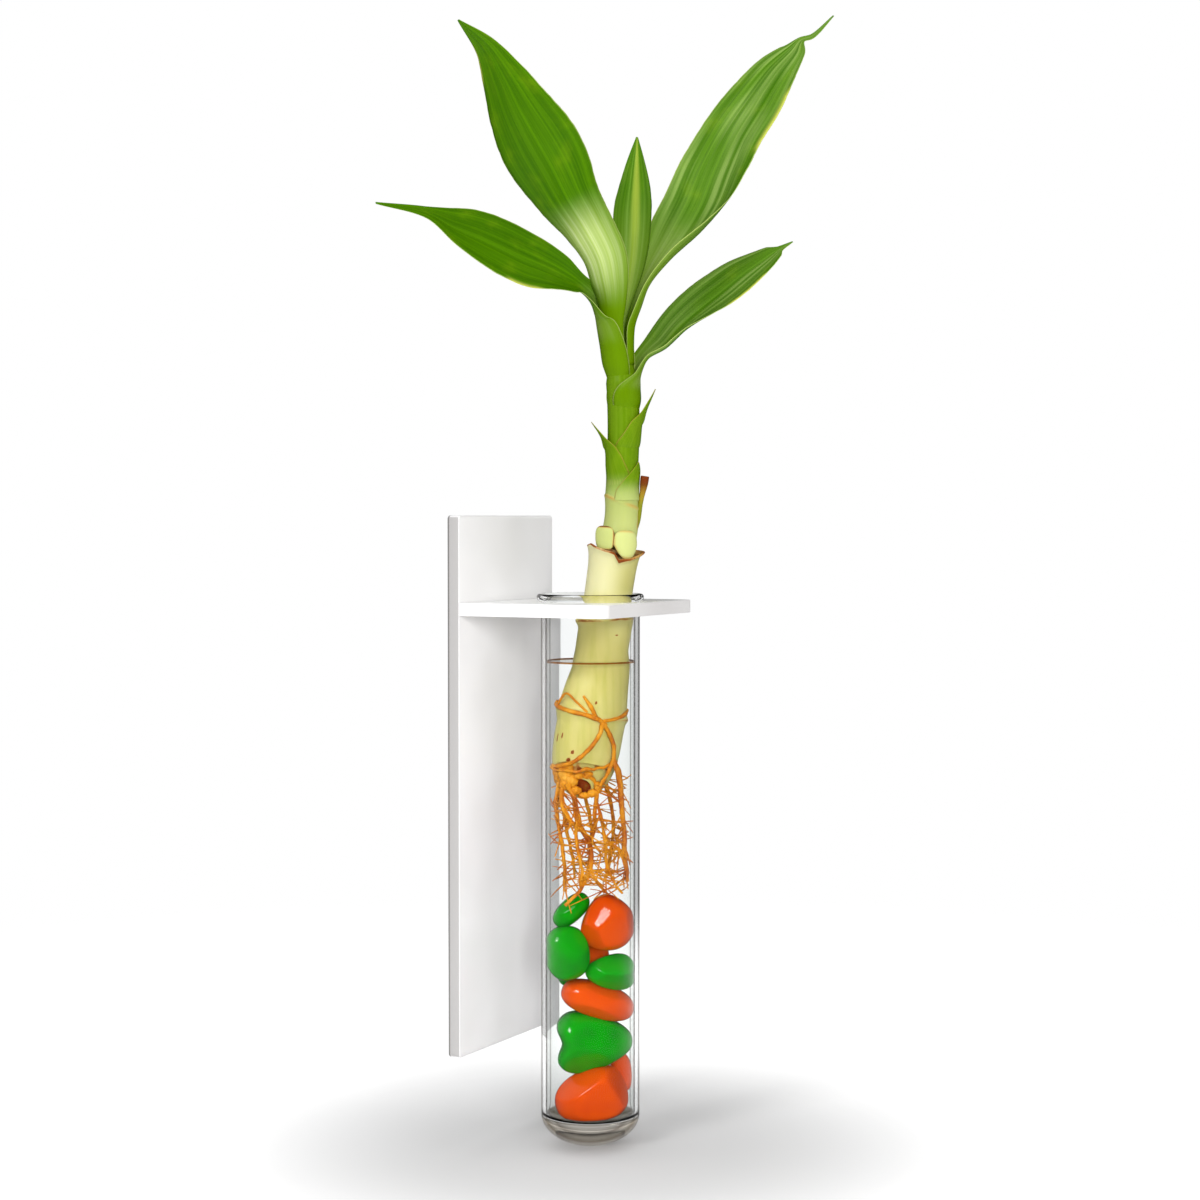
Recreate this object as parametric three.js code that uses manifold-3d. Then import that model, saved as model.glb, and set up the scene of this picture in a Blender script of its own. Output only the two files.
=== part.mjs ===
// Lucky bamboo in a glass test tube that hangs in a wall bracket.
//
// Millimetres, +Z up. The origin is the centre of the bracket's back face: the wall is the plane
// y = 0, and the whole part lies on its -Y side. The plant, its roots, the pebbles and the water
// are modelled in the tube's own frame: its origin is on the tube's axis at the shelf's top, its
// X axis runs across the plant's widest side, its Y axis through the plant and its Z axis up.

import * as THREE from 'three';
import { mergeVertices } from 'three/addons/utils/BufferGeometryUtils.js';
import Module from 'manifold-3d';

const wasm = await Module();
wasm.setup();

// ---------------------------------------------------------------- driving dimensions (mm)

const CLEARANCE = 0.35;             // between a piece and the one it is fitted to

const PLATE_WIDTH = 75;
const PLATE_HEIGHT = 206;
const SHEET_THICKNESS = 5;          // the bracket is cut from one thickness of acrylic sheet
const SHEET_CORNER = 1.5;
const SHEET_EDGE = 0.3;             // polished edge

const SHELF_TOP = 70;               // above the plate's centre
const SHELF_DEPTH = 62.5;
const SHELF_FRONT_CORNER = 3;
const SHELF_BACK_CORNER = 0.5;
const HOLE_RADIUS = 19.5;
const TUBE_OUT = 36.5;              // tube's axis, measured from the plate's front face

const TUBE_RADIUS = 19;
const BORE_RADIUS = 17.2;
const TUBE_BOTTOM = -210;           // below the shelf's top
const BOTTOM_RISE = 12;             // height of the rounded bottom
const FLOOR_RISE = 8;               // thickness of the solid glass base
const DISH_DEPTH = 5.5;             // of the bore's rounded floor
const RIM_RADIUS = 20.6;
const RIM_HEIGHT = 3;

const WATER_LEVEL = -22.9;
const WATER_RADIUS = BORE_RADIUS - CLEARANCE;
const ROOT_ROOM = 15.7;             // radius of the space that the roots stand in
const ROOT_ROOM_TOP = -59;
const ROOT_ROOM_BOTTOM = -118;

const PLANT_TURN = -63;             // degrees, of the tube's frame about the tube's axis

const LEAF_THICKNESS = 0.7;
const SHEATH_THICKNESS = 0.6;

const NET_STRANDS = 22;
const NET_RADIUS = 0.42;
const NET_SEED = 11;

// ---------------------------------------------------------------- finishes

const FINISHES = {
  acrylic: { color: 0xe9e8e6, roughness: 0.3, metalness: 0 },
  glass: { color: 0xeef3f2, roughness: 0.03, metalness: 0, transparent: true, opacity: 0.3 },
  water: { color: 0xe6ecea, roughness: 0.02, metalness: 0, transparent: true, opacity: 0.25 },
  cane: { color: 0xdcdc9c, roughness: 0.42, metalness: 0 },
  shoot: { color: 0xa9c455, roughness: 0.4, metalness: 0 },
  leaf: { color: 0x4a8a12, roughness: 0.35, metalness: 0 },
  root: { color: 0xdd8420, roughness: 0.5, metalness: 0 },
  pebbleGreen: { color: 0x12b014, roughness: 0.18, metalness: 0 },
  pebbleOrange: { color: 0xfc5a04, roughness: 0.18, metalness: 0 },
};

// ---------------------------------------------------------------- solids and meshes

// A closed mesh as a solid that can be joined and cut.
function solid(geometry) {
  const bare = geometry.index ? geometry.toNonIndexed() : geometry.clone();
  bare.deleteAttribute('normal');
  bare.deleteAttribute('uv');
  const merged = mergeVertices(bare, 1e-5);
  return new wasm.Manifold(new wasm.Mesh({
    numProp: 3,
    vertProperties: new Float32Array(merged.attributes.position.array),
    triVerts: new Uint32Array(merged.index.array),
  }));
}

function unite(solids) {
  return solids.reduce((whole, next) => whole.add(next));
}

// The largest body of a solid; crumbs that a cut leaves behind are dropped.
function mainBody(shape) {
  const bodies = shape.decompose();
  return bodies.reduce((best, body) => (body.volume() > best.volume() ? body : best));
}

function geometryOf(shape) {
  const { vertProperties, triVerts } = shape.getMesh();
  const geometry = new THREE.BufferGeometry();
  geometry.setAttribute('position', new THREE.BufferAttribute(new Float32Array(vertProperties), 3));
  geometry.setIndex(new THREE.BufferAttribute(new Uint32Array(triVerts), 1));
  geometry.computeVertexNormals();
  return geometry;
}

function piece(name, geometry, finish) {
  const mesh = new THREE.Mesh(geometry, new THREE.MeshStandardMaterial(FINISHES[finish]));
  mesh.name = name;
  return mesh;
}

function ball([x, y, z], [a, b, c], lean = 0, detail = 2) {
  const geometry = new THREE.IcosahedronGeometry(1, detail);
  geometry.scale(a, b, c);
  geometry.rotateY(THREE.MathUtils.degToRad(-lean));
  geometry.translate(x, y, z);
  return solid(geometry);
}

// ---------------------------------------------------------------- curves

// A smooth run through rows of numbers; the first three of each row are a point.
class Run {
  constructor(rows) {
    this.rows = rows;
    this.path = new THREE.CatmullRomCurve3(rows.map((row) => new THREE.Vector3(...row.slice(0, 3))));
  }

  point(t) {
    return this.path.getPoint(t);
  }

  tangent(t) {
    return this.path.getTangent(t);
  }

  // A column of the rows at t, eased between neighbouring rows.
  value(column, t) {
    const place = t * (this.rows.length - 1);
    const index = Math.min(Math.floor(place), this.rows.length - 2);
    const [from, to] = [this.rows[index][column], this.rows[index + 1][column]];
    return THREE.MathUtils.lerp(from, to, place - index);
  }

  // The point at a height, on a run that rises all the way.
  atHeight(z) {
    let [low, high] = [0, 1];
    for (let step = 0; step < 30; step += 1) {
      const middle = (low + high) / 2;
      if (this.point(middle).z < z) {
        low = middle;
      } else {
        high = middle;
      }
    }
    return this.point(low);
  }
}

// A round limb along rows of [x, y, z, radius]: a cylinder bent along the run. grow makes it
// thicker all round and longer at both ends.
function limb(rows, sides, stepsPerRow = 2, grow = 0) {
  const run = new Run(rows);
  const steps = (rows.length - 1) * stepsPerRow;
  const geometry = new THREE.CylinderGeometry(1, 1, 1, sides, steps);
  const rings = [];
  let across = new THREE.Vector3(1, 0.13, 0.07);
  for (let ring = 0; ring <= steps; ring += 1) {
    const t = ring / steps;
    const along = run.tangent(t);
    across = across.clone().addScaledVector(along, -across.dot(along)).normalize();
    const centre = run.point(t);
    if (ring === 0) {
      centre.addScaledVector(along, -grow);
    }
    if (ring === steps) {
      centre.addScaledVector(along, grow);
    }
    rings.push({ centre, across, side: along.clone().cross(across), radius: run.value(3, t) + grow });
  }
  const places = geometry.attributes.position;
  for (let index = 0; index < places.count; index += 1) {
    const ring = rings[Math.round((0.5 - places.getY(index)) * steps)];
    const place = ring.centre.clone()
      .addScaledVector(ring.across, ring.radius * places.getX(index))
      .addScaledVector(ring.side, ring.radius * places.getZ(index));
    places.setXYZ(index, place.x, place.y, place.z);
  }
  return solid(geometry);
}

const LEVEL_FROM = 55;
const LEVEL_FULL = 75;

// A leaf, or a leaf's sheath, along rows of [x, y, z, half width, curl]. Its section is an arc
// of that half width, turned through curl degrees to each side of the midrib, hollow towards
// faces: the direction that the leaf's upper face looks in, from its foot to its tip. A blade's
// section is square to its midrib, and a sheath's stays level, as it wraps the stem: the one
// eases into the other where curl goes from LEVEL_FROM to LEVEL_FULL degrees.
function leaf({
  rows, faces, wave = 0, waves = 2.5, thickness = LEAF_THICKNESS, across = 8, stepsPerRow = 2,
}) {
  const run = new Run(rows);
  const look = new Run(faces);
  const steps = (rows.length - 1) * stepsPerRow;
  const upper = [];
  const lower = [];
  for (let step = 0; step <= steps; step += 1) {
    const t = step / steps;
    const along = run.tangent(t);
    const degrees = run.value(4, t);
    const square = 1 - THREE.MathUtils.smoothstep(degrees, LEVEL_FROM, LEVEL_FULL);
    const inward = look.point(t);
    inward.addScaledVector(along, -square * inward.dot(along)).normalize();
    const side = along.clone().cross(inward).normalize();
    const half = run.value(3, t);
    const curl = THREE.MathUtils.degToRad(degrees);
    const radius = half / curl;
    const middle = run.point(t);
    for (let place = 0; place <= across; place += 1) {
      const spread = (2 * place) / across - 1;
      const angle = spread * curl;
      const normal = side.clone().multiplyScalar(-Math.sin(angle))
        .addScaledVector(inward, Math.cos(angle));
      const ripple = wave * spread * spread * Math.sin(2 * Math.PI * waves * t + spread)
        * Math.sin(Math.PI * t);
      const centre = middle.clone()
        .addScaledVector(side, radius * Math.sin(angle))
        .addScaledVector(inward, radius * (1 - Math.cos(angle)))
        .addScaledVector(normal, ripple);
      upper.push(centre.clone().addScaledVector(normal, thickness / 2));
      lower.push(centre.clone().addScaledVector(normal, -thickness / 2));
    }
  }
  const row = across + 1;
  const under = upper.length;
  const faceList = [];
  const quad = (a, b, c, d) => faceList.push(a, b, c, a, c, d);
  for (let step = 0; step < steps; step += 1) {
    for (let place = 0; place < across; place += 1) {
      const a = step * row + place;
      quad(a, a + 1, a + row + 1, a + row);
      faceList.push(under + a, under + a + row + 1, under + a + 1);
      faceList.push(under + a, under + a + row, under + a + row + 1);
    }
    const left = step * row;
    const right = left + across;
    quad(left, left + row, under + left + row, under + left);
    quad(right, under + right, under + right + row, right + row);
  }
  for (let place = 0; place < across; place += 1) {
    const last = steps * row + place;
    quad(place, under + place, under + place + 1, place + 1);
    quad(last, last + 1, under + last + 1, under + last);
  }
  const geometry = new THREE.BufferGeometry();
  geometry.setAttribute('position', new THREE.Float32BufferAttribute(
    [...upper, ...lower].flatMap((place) => place.toArray()), 3));
  geometry.setIndex(faceList);
  geometry.computeVertexNormals();
  return geometry;
}

// ---------------------------------------------------------------- bracket

const tubeY = -(SHEET_THICKNESS + TUBE_OUT);

const CORNER_STEPS = 4;
const HOLE_STEPS = 32;

// Points on an arc from one angle to another, in degrees.
function arc(x, y, radius, from, to, steps) {
  return Array.from({ length: steps + 1 }, (_, index) => {
    const angle = THREE.MathUtils.degToRad(from + ((to - from) * index) / steps);
    return new THREE.Vector2(x + radius * Math.cos(angle), y + radius * Math.sin(angle));
  });
}

// A rectangle with its own radius at each end's corners, from y = 0 to y = -length.
function roundedSheet(width, length, backRadius, frontRadius) {
  const half = width / 2;
  return new THREE.Shape([
    ...arc(-half + backRadius, -backRadius, backRadius, 90, 180, CORNER_STEPS),
    ...arc(-half + frontRadius, -length + frontRadius, frontRadius, 180, 270, CORNER_STEPS),
    ...arc(half - frontRadius, -length + frontRadius, frontRadius, 270, 360, CORNER_STEPS),
    ...arc(half - backRadius, -backRadius, backRadius, 0, 90, CORNER_STEPS),
  ]);
}

function sheetGeometry(shape) {
  return new THREE.ExtrudeGeometry(shape, {
    depth: SHEET_THICKNESS - 2 * SHEET_EDGE,
    bevelEnabled: true,
    bevelThickness: SHEET_EDGE,
    bevelSize: SHEET_EDGE,
    bevelOffset: -SHEET_EDGE,
    bevelSegments: 1,
  }).translate(0, 0, SHEET_EDGE);
}

// The plate stands on edge: its outline is drawn flat, then turned up against the wall.
function makeBackPlate() {
  const geometry = sheetGeometry(roundedSheet(PLATE_WIDTH, PLATE_HEIGHT, SHEET_CORNER, SHEET_CORNER));
  geometry.translate(0, PLATE_HEIGHT / 2, 0);
  geometry.rotateX(Math.PI / 2);
  return piece('back_plate', geometry, 'acrylic');
}

function makeShelf() {
  const outline = roundedSheet(PLATE_WIDTH, SHELF_DEPTH, SHELF_BACK_CORNER, SHELF_FRONT_CORNER);
  outline.holes.push(new THREE.Path(arc(0, -TUBE_OUT, HOLE_RADIUS, 360, 360 / HOLE_STEPS, HOLE_STEPS - 1)));
  const geometry = sheetGeometry(outline);
  geometry.translate(0, -SHEET_THICKNESS, SHELF_TOP - SHEET_THICKNESS);
  return piece('tube_shelf', geometry, 'acrylic');
}

// ---------------------------------------------------------------- test tube and water

const SEGMENTS = 32;

// A quarter of an ellipse in [radius, height], from the axis outwards and up.
function bowl(radius, rise, bottom, count) {
  return Array.from({ length: count + 1 }, (_, index) => {
    const angle = (Math.PI / 2) * (index / count);
    return new THREE.Vector2(radius * Math.sin(angle), bottom + rise * (1 - Math.cos(angle)));
  });
}

function turned(profile) {
  return new THREE.LatheGeometry(profile, SEGMENTS).rotateX(Math.PI / 2);
}

function makeGlassTube() {
  const floor = TUBE_BOTTOM + FLOOR_RISE;
  const lip = 0.7;
  const profile = [
    ...bowl(TUBE_RADIUS, BOTTOM_RISE, TUBE_BOTTOM, 6),
    new THREE.Vector2(TUBE_RADIUS, 0),
    new THREE.Vector2(RIM_RADIUS - lip / 2, 0),
    new THREE.Vector2(RIM_RADIUS, lip),
    new THREE.Vector2(RIM_RADIUS, RIM_HEIGHT - lip),
    new THREE.Vector2(RIM_RADIUS - lip, RIM_HEIGHT),
    new THREE.Vector2(BORE_RADIUS + lip, RIM_HEIGHT),
    new THREE.Vector2(BORE_RADIUS, RIM_HEIGHT - lip),
    ...bowl(BORE_RADIUS, DISH_DEPTH, floor, 4).reverse(),
  ];
  return turned(profile);
}

// ---------------------------------------------------------------- cane and shoot

const CANE = [
  [-3.6, -8.3, -70.6, 4.9],
  [-3.3, -5.0, -68.6, 8.4],
  [-2.9, -2.2, -65.6, 11.2],
  [-2.2, -1.0, -60.7, 12.4],
  [-1.1, -0.9, -53.8, 12.9],
  [0.2, -0.9, -46.8, 13.0],
  [0.6, -0.8, -43.2, 13.5],
  [1.2, -0.7, -39.9, 12.9],
  [2.4, -0.4, -34.1, 12.1],
  [3.9, 0, -26.8, 11.1],
  [4.2, 0.2, -22.9, 10.9],
  [4.6, 0.4, -17.9, 10.2],
  [5.6, 0.8, -11.0, 10.3],
  [5.8, 1.0, -7.2, 10.9],
  [6.4, 1.1, -2.0, 9.5],
  [7.1, 1.3, 3.6, 9.2],
  [8.4, 1.4, 13.2, 9.4],
  [9.0, 1.0, 17.0, 9.8],
  [9.5, 0.4, 20.1, 10.6],
];

const SHOOT = [
  [9.7, 0.3, 20.6, 6.6],
  [11.2, 1.2, 26.0, 6.9],
  [12.1, 1.8, 32.0, 6.7],
  [12.2, 2.0, 37.0, 6.9],
  [12.1, 2.0, 39.5, 7.3],
  [12.1, 2.0, 41.0, 7.0],
  [12.1, 2.0, 42.0, 4.2],
  [12.4, 2.0, 52.0, 4.2],
  [12.8, 2.0, 66.0, 4.2],
  [12.5, 2.0, 80.0, 4.2],
  [11.6, 2.0, 91.0, 4.0],
  [11.1, 2.0, 98.0, 3.4],
];

// The shoot's line, carried on above its top for the leaves that stand round it.
const STEM = new Run([...SHOOT, [10.6, 1.6, 106.0], [10.8, 1.2, 113.0], [11.5, 0.8, 121.0]]);

// Scales and a dry stub at the foot of the shoot: centre, half sizes and lean.
const FOOT_SCALES = [
  { centre: [5.3, -2.4, 24.6], size: [4.3, 3.8, 4.3], lean: 12 },
  { centre: [13.2, -2.6, 22.8], size: [5.3, 4.2, 5.0], lean: -6 },
];
const DRY_STUB = [
  [17.6, 1.4, 26.0, 1.0],
  [18.6, 0.8, 34.0, 1.5],
  [20.3, 0.2, 42.0, 1.3],
  [21.0, 0, 48.0, 1.5],
];

function caneSolid(grow = 0) {
  return limb(CANE, 16, 1, grow);
}

function shootSolid() {
  const parts = [
    limb(SHOOT, 14, 1),
    ...FOOT_SCALES.map((scale) => ball(scale.centre, scale.size, scale.lean)),
    limb(DRY_STUB, 6, 1),
  ];
  return mainBody(unite(parts).subtract(caneSolid(CLEARANCE)));
}

// ---------------------------------------------------------------- leaves

// A row of a sheath that wraps the stem: its midrib stands at heading degrees round the stem,
// counted from +X towards +Y, and its edges reach wrap degrees to each side.
function sheathRow(z, radius, heading, wrap) {
  const axis = STEM.atHeight(z);
  const turn = THREE.MathUtils.degToRad(heading);
  return [
    axis.x + radius * Math.cos(turn),
    axis.y + radius * Math.sin(turn),
    z,
    radius * THREE.MathUtils.degToRad(wrap),
    wrap,
  ];
}

// The direction from a midrib at heading degrees towards the stem.
function towardsStem(heading) {
  const turn = THREE.MathUtils.degToRad(heading);
  return [-Math.cos(turn), -Math.sin(turn), 0];
}

const UNDER = 5.1;                  // radius of a sheath where another one covers it
const OVER = 6.2;                   // and where it lies outside

const LEAVES = {
  leaf_upper_left: {
    rows: [
      sheathRow(91, UNDER, 222, 66),
      sheathRow(99, 5.4, 224, 66),
      sheathRow(107, 6.1, 228, 64),
      sheathRow(114, 7.0, 234, 62),
      [8.4, -6.7, 121, 8.7, 56],
      [4.4, -8.4, 131, 9.8, 54],
      [-0.8, -10.8, 142, 11.2, 42],
      [-7.4, -13.6, 152.6, 13.2, 34],
      [-14.0, -16.6, 163.3, 15.0, 28],
      [-20.0, -19.8, 173.2, 15.2, 25],
      [-26.0, -23.2, 183.8, 12.8, 22],
      [-32.2, -26.6, 194.4, 9.4, 20],
      [-39.2, -30.2, 204.6, 5.4, 16],
      [-48.3, -34.6, 214.6, 0.4, 8],
    ],
    faces: [towardsStem(222), [0.45, 0.89, 0.1], [0.42, 0.86, 0.3], [0.5, 0.8, 0.4]],
    wave: 1.0,
  },
  leaf_upper_right: {
    rows: [
      sheathRow(91, UNDER, 20, 78),
      sheathRow(99, 5.4, 16, 78),
      sheathRow(106, 6.2, 12, 76),
      [19.1, 2.4, 113.5, 8.8, 72],
      [21.8, 3.8, 121.0, 8.4, 64],
      [26.4, 7.4, 131.0, 9.0, 56],
      [33.0, 14.0, 144.0, 11.4, 46],
      [40.4, 20.6, 156.0, 13.6, 38],
      [48.2, 27.4, 169.0, 14.4, 32],
      [56.0, 34.0, 182.6, 13.6, 28],
      [64.8, 40.4, 196.4, 11.4, 25],
      [74.8, 47.0, 210.0, 8.2, 20],
      [85.6, 53.8, 222.6, 4.4, 14],
      [98.6, 61.4, 236.0, 0.4, 8],
    ],
    faces: [
      towardsStem(20), [-0.95, -0.25, 0.2], [-0.55, -0.68, 0.5], [-0.42, -0.72, 0.55], [-0.36, -0.7, 0.6],
    ],
    wave: 1.2,
  },
  leaf_centre: {
    rows: [
      [10.8, 0.6, 98.8, 3.4, 80],
      [11.8, 0.6, 108, 3.9, 80],
      [14.4, 1.0, 119, 4.9, 64],
      [16.2, 2.0, 131, 7.2, 58],
      [17.0, 2.8, 142, 8.4, 44],
      [17.3, 3.8, 151, 8.2, 36],
      [17.6, 5.0, 160, 6.4, 30],
      [17.8, 6.4, 169, 3.8, 20],
      [18.0, 8.2, 178.6, 0.4, 8],
    ],
    faces: [[-0.25, 0.96, 0], [-0.3, 0.94, 0.1], [-0.3, 0.94, 0.1]],
    wave: 0.4,
    across: 6,
  },
  leaf_lower_left: {
    rows: [
      sheathRow(79, UNDER, 165, 140),
      sheathRow(85, 5.3, 165, 138),
      sheathRow(91, 6.7, 166, 134),
      sheathRow(98, 7.2, 168, 124),
      sheathRow(105, 7.8, 172, 106),
      sheathRow(110.5, 8.6, 176, 80),
      [0.2, -0.4, 115.6, 7.7, 66],
      [-4.6, -3.5, 119.4, 5.8, 54],
      [-9.6, -8.4, 122.6, 8.8, 44],
      [-16.6, -14.4, 126.2, 11.2, 36],
      [-24.4, -20.8, 129.4, 12.8, 28],
      [-32.2, -27.6, 132.6, 12.6, 25],
      [-40.4, -35.2, 136.0, 11.0, 22],
      [-49.0, -44.4, 139.2, 7.8, 18],
      [-58.8, -55.6, 141.6, 3.8, 14],
      [-75.0, -74.4, 142.6, 0.4, 8],
    ],
    faces: [
      towardsStem(165), towardsStem(168), [0.84, -0.45, 0.3], [0.72, -0.6, 0.34], [0.7, -0.6, 0.4],
    ],
    wave: 0.9,
  },
  leaf_lower_right: {
    rows: [
      sheathRow(64, UNDER, 25, 150),
      sheathRow(71, 5.2, 25, 154),
      sheathRow(77, 6.6, 25, 152),
      sheathRow(82, 6.7, 25, 130),
      sheathRow(87, 7.2, 24, 78),
      [21.4, 6.0, 93.5, 6.2, 56],
      [26.4, 8.0, 100.6, 6.2, 48],
      [33.0, 10.2, 108.4, 7.6, 40],
      [41.4, 12.6, 115.4, 9.2, 34],
      [50.4, 15.0, 121.4, 9.8, 30],
      [59.4, 17.6, 127.2, 8.8, 25],
      [68.8, 20.2, 133.6, 5.8, 18],
      [79.2, 23.0, 140.2, 0.4, 8],
    ],
    faces: [towardsStem(25), towardsStem(25), [-0.7, -0.6, 0.4], [-0.3, -0.65, 0.7], [-0.3, -0.65, 0.7]],
    wave: 0.8,
  },
};

// Short pointed sheaths below the leaves.
const SCALES = {
  scale_lower: {
    rows: [
      sheathRow(42.6, OVER, -30, 86),
      sheathRow(45.5, OVER, -30, 62),
      sheathRow(49, 6.5, -30, 34),
      sheathRow(53.4, 6.9, -30, 4),
    ],
    faces: [towardsStem(-30), towardsStem(-30)],
  },
  scale_left: {
    rows: [
      sheathRow(42.6, UNDER, 186, 130),
      sheathRow(47.5, 5.2, 186, 118),
      sheathRow(52, 6.3, 186, 96),
      sheathRow(57.5, 6.7, 186, 68),
      sheathRow(62.5, 8.2, 186, 26),
      [0.4, 0.4, 68.8, 0.4, 10],
    ],
    faces: [towardsStem(186), towardsStem(186)],
  },
  scale_right: {
    rows: [
      sheathRow(52.4, UNDER, -8, 134),
      sheathRow(56.5, 5.2, -8, 128),
      sheathRow(60.5, 6.3, -8, 108),
      sheathRow(64, 6.6, -8, 85),
      sheathRow(68, 7.0, -8, 60),
      sheathRow(72.5, 8.4, -8, 26),
      [25.0, 0.6, 81.4, 0.4, 10],
    ],
    faces: [towardsStem(-8), towardsStem(-8)],
  },
};

function makeLeaves() {
  const blades = Object.entries(LEAVES).map(([name, plan]) => piece(name, leaf(plan), 'leaf'));
  const scales = Object.entries(SCALES).map(([name, plan]) => (
    piece(name, leaf({ ...plan, thickness: SHEATH_THICKNESS, stepsPerRow: 1 }), 'shoot')));
  return [...blades, ...scales];
}

// ---------------------------------------------------------------- pebbles

// Each pebble: centre, half sizes, lean in the picture's plane, taper towards its +X end and
// a notch on its -X end.
const PEBBLES = {
  pebble_green_top: { at: [-7.4, 2.1, -119.4], size: [8.2, 5.6, 4.6], lean: 42, finish: 'pebbleGreen' },
  pebble_orange_top: {
    at: [6.8, -2.7, -123.0], size: [9.6, 9.2, 10.6], lean: -20, taper: 0.18, finish: 'pebbleOrange',
  },
  pebble_green_left: {
    at: [-8.0, -3.2, -135.6], size: [8.0, 7.6, 10.6], lean: 10, taper: 0.1, finish: 'pebbleGreen',
  },
  pebble_green_right: {
    at: [7.5, -2.1, -142.6], size: [8.8, 7.4, 6.4], taper: -0.3, finish: 'pebbleGreen',
  },
  pebble_orange_middle: { at: [2.8, 1.1, -154.0], size: [13.6, 9.0, 6.2], lean: -17, finish: 'pebbleOrange' },
  pebble_green_heart: {
    at: [-0.1, 0.4, -170.3],
    size: [14.2, 10.5, 10.8],
    lean: 2,
    taper: 0.38,
    notch: 0.2,
    finish: 'pebbleGreen',
  },
  pebble_orange_bottom: {
    at: [0.2, -3.2, -191.2], size: [14.0, 11.0, 9.8], lean: 20, taper: -0.1, finish: 'pebbleOrange',
  },
  pebble_orange_back: { at: [8.7, 9.0, -183.2], size: [4.2, 3.8, 7.2], lean: 8, finish: 'pebbleOrange' },
  pebble_green_back: { at: [-7.8, 9.3, -141.6], size: [4.2, 4.6, 8.6], lean: -6, finish: 'pebbleGreen' },
  pebble_orange_inner: { at: [3.1, 9.9, -138.8], size: [6.4, 6.0, 8.2], lean: 10, finish: 'pebbleOrange' },
};

function pebbleSolid({ at, size, lean = 0, taper = 0, notch = 0 }, grow = 0) {
  const geometry = new THREE.IcosahedronGeometry(1, 2);
  const places = geometry.attributes.position;
  for (let index = 0; index < places.count; index += 1) {
    const [x, y, z] = [places.getX(index), places.getY(index), places.getZ(index)];
    const narrow = 1 - taper * x;
    const dent = notch * Math.max(-x, 0) ** 2 * Math.exp(-((z / 0.35) ** 2));
    places.setXYZ(
      index,
      (x + dent) * (size[0] + grow),
      y * narrow * (size[1] + grow),
      z * narrow * (size[2] + grow),
    );
  }
  geometry.rotateY(THREE.MathUtils.degToRad(-lean));
  geometry.translate(...at);
  return solid(geometry);
}

// ---------------------------------------------------------------- roots

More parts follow.
